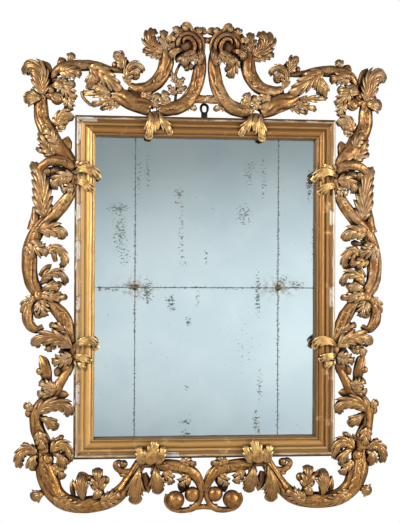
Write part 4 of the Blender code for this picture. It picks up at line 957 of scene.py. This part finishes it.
def button_piece(node, look):
    """A domed rosette on its pin: petals around a boss, inside a scalloped edge."""
    low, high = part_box(node)
    x, z = (low.x + high.x) / 2, (low.z + high.z) / 2
    radius = (high.x - low.x) / 2
    seat = BACK_Y - (GLASS_FRONT + SEAT_GAP)
    rise = seat - low.y
    pin = [(BUTTON_PIN, high.y), (BUTTON_PIN, seat)]
    rings = np.array(pin + [(share * radius, seat - part * rise) for share, part in ROSETTE])
    turn = np.linspace(0, 2 * math.pi, 72, endpoint=False)
    petal = np.abs(np.sin(3 * turn)) ** 0.6
    share = rings[:, 0] / radius
    swell = 1 - 0.10 * np.clip((share - 0.35) * 1.6, 0, 1)[:, None] * (1 - petal)[None]
    swell[:2] = 1
    loops = np.stack([
        x + rings[:, :1] * swell * np.cos(turn),
        rings[:, 1:] + 0.0008 * (1 - petal) * ((share > 0.4) & (share < 0.95))[:, None],
        z + rings[:, :1] * swell * np.sin(turn),
    ], axis=-1)
    depth = np.repeat((1 - petal)[None], len(rings), axis=0) * (share > 0.35)[:, None]
    made = mesh_object(node.replace("plate_", "rosette_"), [shell(loops, depth)], look)
    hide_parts(node)
    return made


EYE_W, EYE_H, EYE_IRON = 0.018, 0.028, 0.011
SHANK_HALF = 0.0135


def eye_piece(look):
    """The forged eye and its shank, with softened edges and hammered faces."""
    low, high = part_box("hanging_ring")
    steps = 40
    outer, inner = [], []
    for number in range(steps):
        angle = -math.pi / 2 + 2 * math.pi * (number + 0.5) / steps
        co, si = math.cos(angle), math.sin(angle)
        drop = 0.0 if si > 0 else -(EYE_H - EYE_W)
        inner.append((EYE_W / 2 * co, -EYE_W / 2 + EYE_W / 2 * si + drop))
        head = EYE_W / 2 + EYE_IRON
        if si > 0:
            outer.append((head * co, -EYE_W / 2 + head * si))
        else:
            depth = -si
            outer.append((head * co, -EYE_W / 2 - depth * (EYE_H - EYE_W / 2 + EYE_IRON)))
    profile = ((0.0, 0.55), (0.12, 0.9), (0.35, 1.0), (0.65, 1.0), (0.88, 0.9), (1.0, 0.55))
    half = (high.y - low.y) / 2
    rings = [(share, -half * rise) for share, rise in profile]
    rings += [(share, half * rise) for share, rise in profile[::-1]]
    outer, inner = np.array(outer), np.array(inner)
    loops = []
    for share, y in rings:
        flat = inner + (outer - inner) * share
        loops.append(np.stack([flat[:, 0], np.full(steps, y), flat[:, 1]], -1))
    loops = np.array(loops)
    count = len(rings)
    points = loops.reshape(-1, 3)
    ring = np.arange(count)[:, None] * steps
    after_ring = (np.arange(count)[:, None] + 1) % count * steps
    side = np.arange(steps)[None]
    after = (side + 1) % steps
    quads = np.stack([ring + side, ring + after, after_ring + after, after_ring + side], -1)
    quads = quads.reshape(-1, 4)
    torus = (points, quads, np.zeros((0, 3), int), np.zeros(len(points)))
    top, foot = -EYE_H - 0.4 * EYE_IRON, low.z
    stations = np.linspace(top, foot + 0.001, 26)
    loops = []
    for z in stations:
        taper = 1 - 0.06 * (top - z) / (top - foot)
        loops.append([(SHANK_HALF * taper * cx, half * cy, z)
                      for cx, cy in ((-1, -0.6), (-0.92, -1), (0.92, -1), (1, -0.6),
                                     (1, 0.6), (0.92, 1), (-0.92, 1), (-1, 0.6))])
    loops = hand_marks(np.array(loops).reshape(-1, 3), *HAMMER_MARKS, 5).reshape(-1, 8, 3)
    loops[..., 1] = np.clip(loops[..., 1], low.y, high.y)
    shank = shell(loops, np.zeros(loops.shape[:2]))
    made = mesh_object("forged_eye", [torus, shank], look)
    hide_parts("hanging_ring")
    return made


# Materials


class Nodes:
    """A short way to write the node tree of a material or of the world."""

    def __init__(self, owner):
        self.owner = owner
        owner.use_nodes = True
        self.tree = owner.node_tree
        self.shader = self.tree.nodes.get("Principled BSDF")

    def add(self, kind, inputs=(), **settings):
        node = self.tree.nodes.new(kind)
        for key, value in settings.items():
            setattr(node, key, value)
        for key, value in dict(inputs).items():
            self.put(node.inputs[key], value)
        return node

    def put(self, socket, value):
        if isinstance(value, bpy.types.NodeSocket):
            self.tree.links.new(value, socket)
        elif isinstance(value, tuple) and len(value) == 3 and socket.type == "RGBA":
            socket.default_value = (*value, 1.0)
        else:
            socket.default_value = value

    def attribute(self, name):
        return self.add("ShaderNodeAttribute", attribute_name=name).outputs["Fac"]

    def maths(self, operation, a, b=0.0, clamp=False):
        node = self.add("ShaderNodeMath", operation=operation, use_clamp=clamp)
        self.put(node.inputs[0], a)
        self.put(node.inputs[1], b)
        return node.outputs[0]

    def times(self, a, b):
        return self.maths("MULTIPLY", a, b)

    def plus(self, a, b):
        return self.maths("ADD", a, b)

    def minus(self, a, b):
        return self.maths("SUBTRACT", a, b)

    def most(self, a, b, clamp=False):
        return self.maths("MAXIMUM", a, b, clamp)

    def noise(self, vector, scale, detail=4.0, rough=0.55):
        node = self.add("ShaderNodeTexNoise", {"Vector": vector, "Scale": scale,
                                               "Detail": detail, "Roughness": rough})
        return node.outputs["Fac"]

    def spread(self, value, low, high, out_low=0.0, out_high=1.0):
        node = self.add("ShaderNodeMapRange", {"Value": value, "From Min": low, "From Max": high,
                                               "To Min": out_low, "To Max": out_high},
                        interpolation_type="SMOOTHSTEP")
        return node.outputs["Result"]

    def mix(self, factor, a, b):
        node = self.add("ShaderNodeMix", data_type="RGBA")
        self.put(node.inputs[0], factor)
        self.put(node.inputs[6], a)
        self.put(node.inputs[7], b)
        return node.outputs[2]

    def position(self):
        return self.add("ShaderNodeTexCoord").outputs["Object"]

    def stretched(self, scale):
        return self.add("ShaderNodeMapping", {"Vector": self.position(), "Scale": scale}).outputs[0]

    def facing(self, axis):
        normal = self.add("ShaderNodeNewGeometry").outputs["Normal"]
        return self.add("ShaderNodeSeparateXYZ", {"Vector": normal}).outputs[axis]

    def crevice(self, distance):
        """1 deep in a crevice, 0 in the open."""
        node = self.add("ShaderNodeAmbientOcclusion", {"Distance": distance}, samples=6)
        return self.maths("SUBTRACT", 1.0, node.outputs["AO"])

    def bump(self, height, strength, distance):
        node = self.add("ShaderNodeBump", {"Height": height, "Strength": strength,
                                           "Distance": distance})
        self.put(self.shader.inputs["Normal"], node.outputs[0])

    def finish(self, colour, roughness, metallic, specular=0.5):
        self.put(self.shader.inputs["Specular IOR Level"], specular)
        self.put(self.shader.inputs["Base Color"], colour)
        self.put(self.shader.inputs["Roughness"], roughness)
        self.put(self.shader.inputs["Metallic"], metallic)
        return self.owner


def carved_gilding():
    """Water gilding rubbed through to red bole; dirt and painted shade in the hollows, dust and
    painted shade on top, painted highlights on the ridges.
    """
    n = Nodes(bpy.data.materials.new("carved_gilding"))
    where = n.position()
    broad = n.noise(where, 6.0, 3.0)
    patches = n.noise(where, 34.0, 6.0, 0.65)
    fine = n.noise(where, 170.0, 5.0, 0.7)
    gold = n.mix(n.spread(broad, 0.38, 0.64), (0.31, 0.155, 0.050), (0.60, 0.345, 0.125))
    out, _, up = n.add("ShaderNodeSeparateXYZ", {"Vector": where}).outputs
    low = n.spread(up, -1.50, -0.95, 1.0, 0.0)
    beside = n.maths("ABSOLUTE", n.minus(out, FRAME_X))
    beyond = n.maths("ABSOLUTE", n.minus(up, FRAME_Z))
    clasp = n.times(n.spread(beside, 0.525, 0.560, 1.0, 0.0),
                    n.spread(beyond, 0.690, 0.725, 1.0, 0.0))
    gold = n.mix(n.times(low, 0.50), gold, (0.56, 0.28, 0.062))
    gold = n.mix(n.times(clasp, 0.85), gold, (0.96, 0.60, 0.20))
    high = n.spread(up, 0.04, 0.26)
    gold = n.mix(n.times(high, 0.60), gold, (0.23, 0.105, 0.038))
    dry = n.spread(n.noise(where, 11.0, 5.0, 0.6), 0.50, 0.66, 0.0, 0.55)
    bright = n.most(n.times(low, 0.7), clasp)
    dry = n.times(dry, n.minus(1.0, bright))
    colour = n.mix(dry, gold, (0.42, 0.285, 0.170))
    rubbed = n.spread(n.plus(patches, n.times(fine, 0.25)), 0.58, 0.73)
    colour = n.mix(n.times(rubbed, 0.8), colour, (0.215, 0.080, 0.030))
    # Fine pale flecks of wear, and a painted highlight that pales the convex ridges
    ridge_highlight = n.spread(n.add("ShaderNodeNewGeometry").outputs["Pointiness"], 0.515, 0.58)
    pale = n.most(n.spread(fine, 0.58, 0.70, 0.0, 0.75), n.times(ridge_highlight, 0.6))
    ends = n.times(n.most(low, high), 0.30)
    pale = n.times(pale, n.minus(1.0, ends))
    colour = n.mix(pale, colour, (0.90, 0.70, 0.42))
    # Dirt and painted shade: the crevices, found by ambient occlusion, and the carving's hollows are
    # darkened
    deep = n.spread(n.crevice(0.040), 0.07, 0.40)
    hollow = n.spread(n.attribute("cavity"), 0.25, 1.0, 0.0, 0.85)
    dirt_and_painted_shade = n.most(deep, hollow)
    # Dust and painted shade: faces turned upward are darkened, for settled dust and for a light that
    # falls from the front
    dust_and_painted_top_shade = n.times(n.spread(n.facing("Z"), 0.30, 0.85), 0.86)
    colour = n.mix(dust_and_painted_top_shade, colour, (0.055, 0.034, 0.020))
    # Painted shade with some dirt: the hollows turn red brown, and near black where they are deepest
    reddish_painted_shade = n.times(n.spread(dirt_and_painted_shade, 0.0, 0.45), 0.55)
    colour = n.mix(reddish_painted_shade, colour, (0.20, 0.070, 0.022))
    colour = n.mix(n.spread(dirt_and_painted_shade, 0.30, 1.0), colour, (0.018, 0.007, 0.003))
    dull = n.most(dirt_and_painted_shade, dust_and_painted_top_shade, clamp=True)
    metallic = n.times(n.spread(n.most(dull, dry), 0.0, 0.8, 1.0, 0.1), 0.80)
    roughness = n.spread(n.plus(patches, n.times(dull, 0.4)), 0.3, 0.9, 0.32, 0.64)
    n.bump(n.plus(fine, n.times(patches, 0.6)), 0.5, 0.0018)
    roughness = n.minus(roughness, n.times(low, 0.07))
    return n.finish(colour, roughness, metallic, 0.2)


def frame_gilding():
    """The rails' gilding: members picked out by wear and by painted shade in their hollows, each rail
    paler or darker by wear and by painted light, with streaks along the grain.
    """
    n = Nodes(bpy.data.materials.new("moulded_gilding"))
    inward = n.attribute("inward")
    travel = n.attribute("travel")
    pale = n.attribute("pale")
    lengthwise = n.add("ShaderNodeCombineXYZ", {"X": travel, "Y": n.times(inward, 9.0),
                                                "Z": n.times(n.attribute("height"), 9.0)})
    streak = n.noise(lengthwise.outputs[0], 14.0, 6.0, 0.65)
    patch = n.noise(n.position(), 16.0, 6.0, 0.65)
    fine = n.noise(n.position(), 170.0, 4.0, 0.7)
    ramp = n.add("ShaderNodeValToRGB", {"Fac": n.maths("DIVIDE", inward, RAIL_FACE)})
    # Tones across the rail's face, from the outer edge in: the members' gilding, with painted shade in
    # the dark stops at the outer edge, in the cove, in the two grooves and on the slope down to the
    # sight edge
    stops = (
        (0.0, (0.09, 0.055, 0.030)), (0.03, (0.13, 0.075, 0.040)), (0.06, (0.36, 0.225, 0.110)),
        (0.18, (0.44, 0.27, 0.115)), (0.24, (0.24, 0.115, 0.040)), (0.31, (0.13, 0.058, 0.019)),
        (0.42, (0.56, 0.315, 0.105)), (0.475, (0.36, 0.175, 0.050)), (0.50, (0.060, 0.025, 0.008)),
        (0.54, (0.36, 0.165, 0.042)), (0.68, (0.48, 0.240, 0.064)), (0.80, (0.38, 0.175, 0.046)),
        (0.845, (0.25, 0.110, 0.034)), (0.875, (0.46, 0.255, 0.085)), (0.95, (0.42, 0.230, 0.082)),
        (0.985, (0.13, 0.060, 0.022)),
    )
    while len(ramp.color_ramp.elements) < len(stops):
        ramp.color_ramp.elements.new(0.5)
    for element, (at, tone) in zip(ramp.color_ramp.elements, stops):
        element.position = at
        element.color = (*tone, 1.0)
    # Wear and painted light: the pale rails, the left one most, are brightened towards light gold, and
    # the others, the right and top most, are darkened as painted shade
    light = n.mix(n.spread(inward, 0.018, 0.045), (0.60, 0.41, 0.21), (0.92, 0.57, 0.20))
    colour = n.mix(n.spread(pale, 0.0, 0.6, 0.42, 0.0), ramp.outputs[0], (0.20, 0.085, 0.020))
    colour = n.mix(n.times(pale, 0.60), colour, light)
    streaked = n.spread(streak, 0.50, 0.70, 0.0, 0.85)
    colour = n.mix(n.times(streaked, n.minus(1.0, n.times(pale, 0.5))),
                   colour, (0.215, 0.088, 0.026))
    colour = n.mix(n.spread(patch, 0.58, 0.72, 0.0, 0.7), colour, (0.86, 0.60, 0.29))
    rim = n.times(n.spread(inward, 0.013, 0.019, 1.0, 0.0),
                  n.spread(inward, 0.0012, 0.0035))
    worn_ground = n.noise(lengthwise.outputs[0], 11.0, 6.0, 0.65)
    worn = n.spread(n.plus(worn_ground, n.times(pale, 0.05)), 0.50, 0.60)
    gesso = n.times(rim, worn)
    colour = n.mix(n.times(gesso, 0.8), colour, (0.56, 0.46, 0.34))
    chipped = n.times(rim, n.spread(n.noise(lengthwise.outputs[0], 26.0, 5.0, 0.7), 0.60, 0.66))
    colour = n.mix(chipped, colour, (0.075, 0.045, 0.028))
    patchy = n.noise(n.position(), 45.0, 5.0, 0.65)
    bare = n.spread(n.times(n.attribute("bare"), patchy), 0.34, 0.44)
    bare = n.times(bare, n.spread(inward, 0.0235, 0.0275, 1.0, 0.0))
    around = n.spread(n.times(n.attribute("bare"), patchy), 0.22, 0.34, 0.0, 0.75)
    around = n.times(around, n.spread(inward, 0.0260, 0.0310, 1.0, 0.0))
    colour = n.mix(around, colour, (0.20, 0.115, 0.060))
    colour = n.mix(n.times(bare, 0.92), colour, (0.66, 0.61, 0.53))
    # Painted shade: a dark line along the outermost edge, where the rail's outer side falls in shade;
    # where the edge is chalky it is white bare ground instead
    outermost = n.spread(inward, 0.0075, 0.0105, 1.0, 0.0)
    chalk = n.spread(n.plus(worn_ground, n.attribute("chalky")), 0.86, 0.94)
    edge_shade_and_chalk = n.mix(chalk, (0.085, 0.052, 0.028), (0.88, 0.82, 0.66))
    colour = n.mix(n.times(outermost, 0.92), colour, edge_shade_and_chalk)
    # Dust and painted shade: faces turned upward are darkened, for settled dust and for a light that
    # falls from the front
    dust_and_painted_top_shade = n.times(n.spread(n.facing("Z"), 0.35, 0.9), 0.80)
    colour = n.mix(dust_and_painted_top_shade, colour, (0.085, 0.052, 0.030))
    # Dirt and painted shade: the rails' crevices, found by ambient occlusion, are darkened
    dirt_and_painted_shade = n.spread(n.crevice(0.014), 0.34, 0.95, 0.0, 0.75)
    colour = n.mix(dirt_and_painted_shade, colour, (0.085, 0.034, 0.011))
    dull = n.most(n.most(dirt_and_painted_shade, dust_and_painted_top_shade), gesso, clamp=True)
    metallic = n.spread(dull, 0.0, 0.8, 0.50, 0.05)
    roughness = n.spread(n.plus(streak, n.times(dull, 0.3)), 0.3, 0.9, 0.36, 0.62)
    n.bump(n.plus(n.times(fine, 0.5), streak), 0.35, 0.0012)
    return n.finish(colour, roughness, metallic)


def old_mirror():
    """Tin and mercury silvering behind greyish glass, with foxing and brown stains."""
    n = Nodes(bpy.data.materials.new("old_mirror"))
    where = n.position()
    cloud = n.noise(where, 2.6, 3.0)
    silver = n.mix(n.spread(cloud, 0.35, 0.65), (0.60, 0.725, 0.765), (0.68, 0.79, 0.82))
    speck = n.noise(where, 95.0, 5.0, 0.62)
    tall = n.noise(n.stretched((0.55, 1.0, 1.0)), 125.0, 5.0, 0.70)
    rim = n.spread(n.attribute("edge"), 0.0, 0.016, 0.44, 0.0)
    foxing = n.most(n.attribute("foxing"), rim)
    level = n.maths("MULTIPLY_ADD", foxing, 0.150)
    level.node.inputs[2].default_value = 0.375
    spots = n.maths("LESS_THAN", tall, n.times(level, n.spread(foxing, 0.0, 0.35, 0.78, 1.0)))
    dust = n.maths("LESS_THAN", speck, 0.295)
    spots = n.most(spots, dust)
    seam = n.spread(n.plus(n.attribute("edge"),
                            n.times(n.minus(tall, 0.5), 0.012)),
                    0.0007, 0.0030, 1.0, 0.0)
    stain = n.times(n.attribute("stain"), n.spread(n.noise(where, 42.0, 6.0, 0.7), 0.40, 0.62))
    colour = n.mix(n.times(stain, 0.9), silver, (0.285, 0.215, 0.145))
    colour = n.mix(n.times(seam, 0.85), colour, (0.105, 0.115, 0.115))
    colour = n.mix(n.times(spots, 0.9), colour, (0.085, 0.092, 0.088))
    dull = n.most(spots, n.most(stain, n.times(seam, 0.6)))
    roughness = n.spread(dull, 0.0, 1.0, 0.10, 0.55)
    metallic = n.spread(dull, 0.0, 1.0, 1.0, 0.55)
    n.bump(n.noise(where, 5.5, 2.0), 0.02, 0.002)
    return n.finish(colour, roughness, metallic)


def dull_metal(name, dark, light, roughness, metallic):
    n = Nodes(bpy.data.materials.new(name))
    where = n.position()
    patches = n.noise(where, 130.0, 5.0, 0.65)
    colour = n.mix(n.spread(patches, 0.38, 0.66), dark, light)
    # Painted shade: the hollows and crevices, found by ambient occlusion, are darkened towards black
    hollow = n.spread(n.most(n.crevice(0.006), n.attribute("cavity")), 0.3, 1.0, 0.0, 0.7)
    colour = n.mix(hollow, colour, (0.015, 0.010, 0.006))
    n.bump(patches, 0.4, 0.0006)
    return n.finish(colour, n.spread(patches, 0.3, 0.7, roughness, roughness + 0.2), metallic)


def old_pine():
    n = Nodes(bpy.data.materials.new("old_pine"))
    grain = n.noise(n.stretched((7.0, 7.0, 0.6)), 9.0, 7.0, 0.6)
    ring = n.add("ShaderNodeTexWave", {"Vector": n.stretched((1.0, 1.0, 0.05)), "Scale": 26.0,
                                       "Distortion": 5.0, "Detail": 3.0}).outputs["Fac"]
    colour = n.mix(n.spread(grain, 0.35, 0.7), (0.24, 0.145, 0.072), (0.40, 0.27, 0.155))
    colour = n.mix(n.times(ring, 0.35), colour, (0.17, 0.095, 0.045))
    n.bump(n.plus(grain, n.times(ring, 0.4)), 0.3, 0.0015)
    return n.finish(colour, n.spread(grain, 0.3, 0.7, 0.72, 0.9), 0.0)


# Pieces

gilding = carved_gilding()
moulded = frame_gilding()
silvering = old_mirror()
brass = dull_metal("dull_brass", (0.085, 0.062, 0.036), (0.26, 0.195, 0.105), 0.40, 1.0)
iron = dull_metal("forged_iron", (0.012, 0.011, 0.010), (0.045, 0.038, 0.032), 0.48, 0.8)

# Each rail, the corners that it runs between, how pale its gilding is, by wear and by painted light
# (lit on the left, painted shade on the right and top), and how much of its outermost edge is bare
# white ground
RAILS = (
    ("rail_top", (-1, 1), (1, 1), 0.05, 0.25),
    ("rail_bottom", (1, -1), (-1, -1), 0.45, 0.05),
    ("rail_left", (-1, -1), (-1, 1), 0.90, 0.30),
    ("rail_right", (1, 1), (1, -1), 0.02, 1.0),
)
pieces = {}
for number, (node, start, end, pale, chalky) in enumerate(RAILS):
    rail = rail_piece(f"moulded_{node}", start, end, pale, chalky, moulded, 20 + number)
    pieces[rail] = "frame_gilding"

FLOWER_HALF = {**FLOWER_LEAVES, "rib": curled_ribs()}
CARVING = (
    ("crest_left_scrolls", -1, (CREST_HALF, CREST_LEFT, FLOWER_HALF), CARVING_CENTRE, "carved_crest"),
    ("crest_right_scrolls", 1, (CREST_HALF, CREST_RIGHT, FLOWER_HALF), CARVING_CENTRE, "carved_crest"),
    ("apron_left_scrolls", -1, (APRON_HALF,), CARVING_CENTRE, "carved_apron"),
    ("apron_right_scrolls", 1, (APRON_HALF,), CARVING_CENTRE, "carved_apron"),
    ("side_left_scrolls", -1, (SIDE_HALF,), 0.0, "carved_left"),
    ("side_right_scrolls", 1, (SIDE_HALF, SIDE_RIGHT), 0.0, "carved_right"),
)
for number, (name, side, tables, centre, node) in enumerate(CARVING):
    piece = carved_piece(name, side, tables, centre, gilding, 40 + number)
    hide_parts(node)
    pieces[piece] = "gilding"

for row in ("top", "bottom"):
    for column in ("left", "middle", "right"):
        pieces[glass_plate(f"plate_{row}_{column}", silvering)] = "mirror_plate"
for side in ("left", "right"):
    pieces[button_piece(f"plate_button_{side}", brass)] = "brass"
pieces[eye_piece(iron)] = "iron"

for piece, slot in pieces.items():
    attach(piece, "root")

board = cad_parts["back_board"]
board.data.materials.clear()
board.data.materials.append(old_pine())


# Floor, camera and light

FLOOR_Z = -2.35
FLOOR_X, FLOOR_Y = (-4.0, 4.0), (-3.6, 1.2)
ROOM_TONE = (0.96, 0.985, 0.985)
SHOT_FOCUS_PX = 1054.19
PHOTO_HEIGHT_PX = 523
CAMERA_X, CAMERA_Y, CAMERA_Z = FRAME_X - 0.4951, -4.5, FRAME_Z + 0.0558
YAW, PITCH, ROLL = 0.1046, 0.0120, 0.0044


def plain_floor():
    mesh = bpy.data.meshes.new("floor")
    corners = [(FLOOR_X[i], FLOOR_Y[j], FLOOR_Z) for i, j in ((0, 0), (1, 0), (1, 1), (0, 1))]
    mesh.from_pydata(corners, [], [(0, 1, 2, 3)])
    n = Nodes(bpy.data.materials.new("pale_floor"))
    mottle = n.noise(n.position(), 3.0, 3.0)
    tone = n.mix(n.spread(mottle, 0.3, 0.7), (0.80, 0.79, 0.77), (0.84, 0.83, 0.81))
    mesh.materials.append(n.finish(tone, 0.7, 0.0))
    floor = placed("floor", mesh)


def aimed(made, across, above, ahead, spot):
    """Places a camera or lamp with its right, upward and forward directions."""
    turned = Matrix.Identity(4)
    for row in range(3):
        turned[row][0], turned[row][1], turned[row][2] = across[row], above[row], -ahead[row]
    turned.translation = spot
    made.matrix_world = turned


def crosswise(ahead):
    """The level direction to the right of a forward one, and the one upward from both."""
    right = np.cross(ahead, (0.0, 0.0, 1.0))
    right /= np.linalg.norm(right)
    return right, np.cross(right, ahead)


def camera():
    lens = bpy.data.cameras.new("camera")
    lens.sensor_fit = "VERTICAL"
    lens.sensor_height = 36.0
    lens.lens = SHOT_FOCUS_PX / PHOTO_HEIGHT_PX * lens.sensor_height
    made = placed("camera", lens)
    ahead = np.array([math.sin(YAW) * math.cos(PITCH), math.cos(YAW) * math.cos(PITCH),
                      math.sin(PITCH)])
    right, up = crosswise(ahead)
    across = right * math.cos(ROLL) + up * math.sin(ROLL)
    above = -right * math.sin(ROLL) + up * math.cos(ROLL)
    aimed(made, across, above, ahead, (CAMERA_X, CAMERA_Y, CAMERA_Z))
    bpy.context.scene.camera = made


def soft_box(name, spot, aim, size, power, tone):
    light = bpy.data.lights.new(name, "AREA")
    light.shape = "RECTANGLE"
    light.size, light.size_y = size
    light.energy = power
    light.color = tone
    ahead = np.array(aim, float) - np.array(spot, float)
    ahead /= np.linalg.norm(ahead)
    aimed(placed(name, light), *crosswise(ahead), ahead, spot)


def studio():
    """White to the eye; around the mirror a room that is bright in front and dark behind."""
    n = Nodes(bpy.data.worlds.new("studio"))
    n.tree.nodes.clear()
    sky = n.add("ShaderNodeTexCoord").outputs["Generated"]
    x, y, z = n.add("ShaderNodeSeparateXYZ", {"Vector": sky}).outputs
    ahead = n.most(n.times(y, -1.0), 0.0)
    front = n.maths("MINIMUM", n.times(n.maths("POWER", ahead, 2.6), 1.25), 1.0)
    fall = n.times(n.times(z, z), -29.1)
    slope = n.plus(n.plus(n.times(z, -2.42), x), fall)
    level = n.maths("MINIMUM", n.most(n.plus(slope, 0.849), 0.34), 1.1)
    strength = n.plus(n.times(front, level), 0.035)
    room = n.add("ShaderNodeBackground", {"Color": ROOM_TONE, "Strength": strength})
    backdrop = n.add("ShaderNodeBackground", {"Color": (1.0, 1.0, 1.0), "Strength": 1.0})
    seen = n.add("ShaderNodeLightPath").outputs["Is Camera Ray"]
    mix = n.add("ShaderNodeMixShader", {0: seen, 1: room.outputs[0], 2: backdrop.outputs[0]})
    n.add("ShaderNodeOutputWorld", {0: mix.outputs[0]})
    bpy.context.scene.world = n.owner
    middle = (FRAME_X, 0.0, FRAME_Z)
    soft_box("key", (-3.2, -3.2, 1.0), middle, (1.2, 1.8), 180.0, (1.0, 0.97, 0.92))
    soft_box("fill", (3.4, -2.9, -0.2), middle, (1.1, 2.0), 115.0, (1.0, 0.97, 0.93))
    soft_box("low", (0.4, -3.2, -3.6), middle, (2.4, 0.9), 22.0, (1.0, 0.95, 0.88))


plain_floor()
camera()
studio()
bpy.context.scene.view_settings.view_transform = "Standard"

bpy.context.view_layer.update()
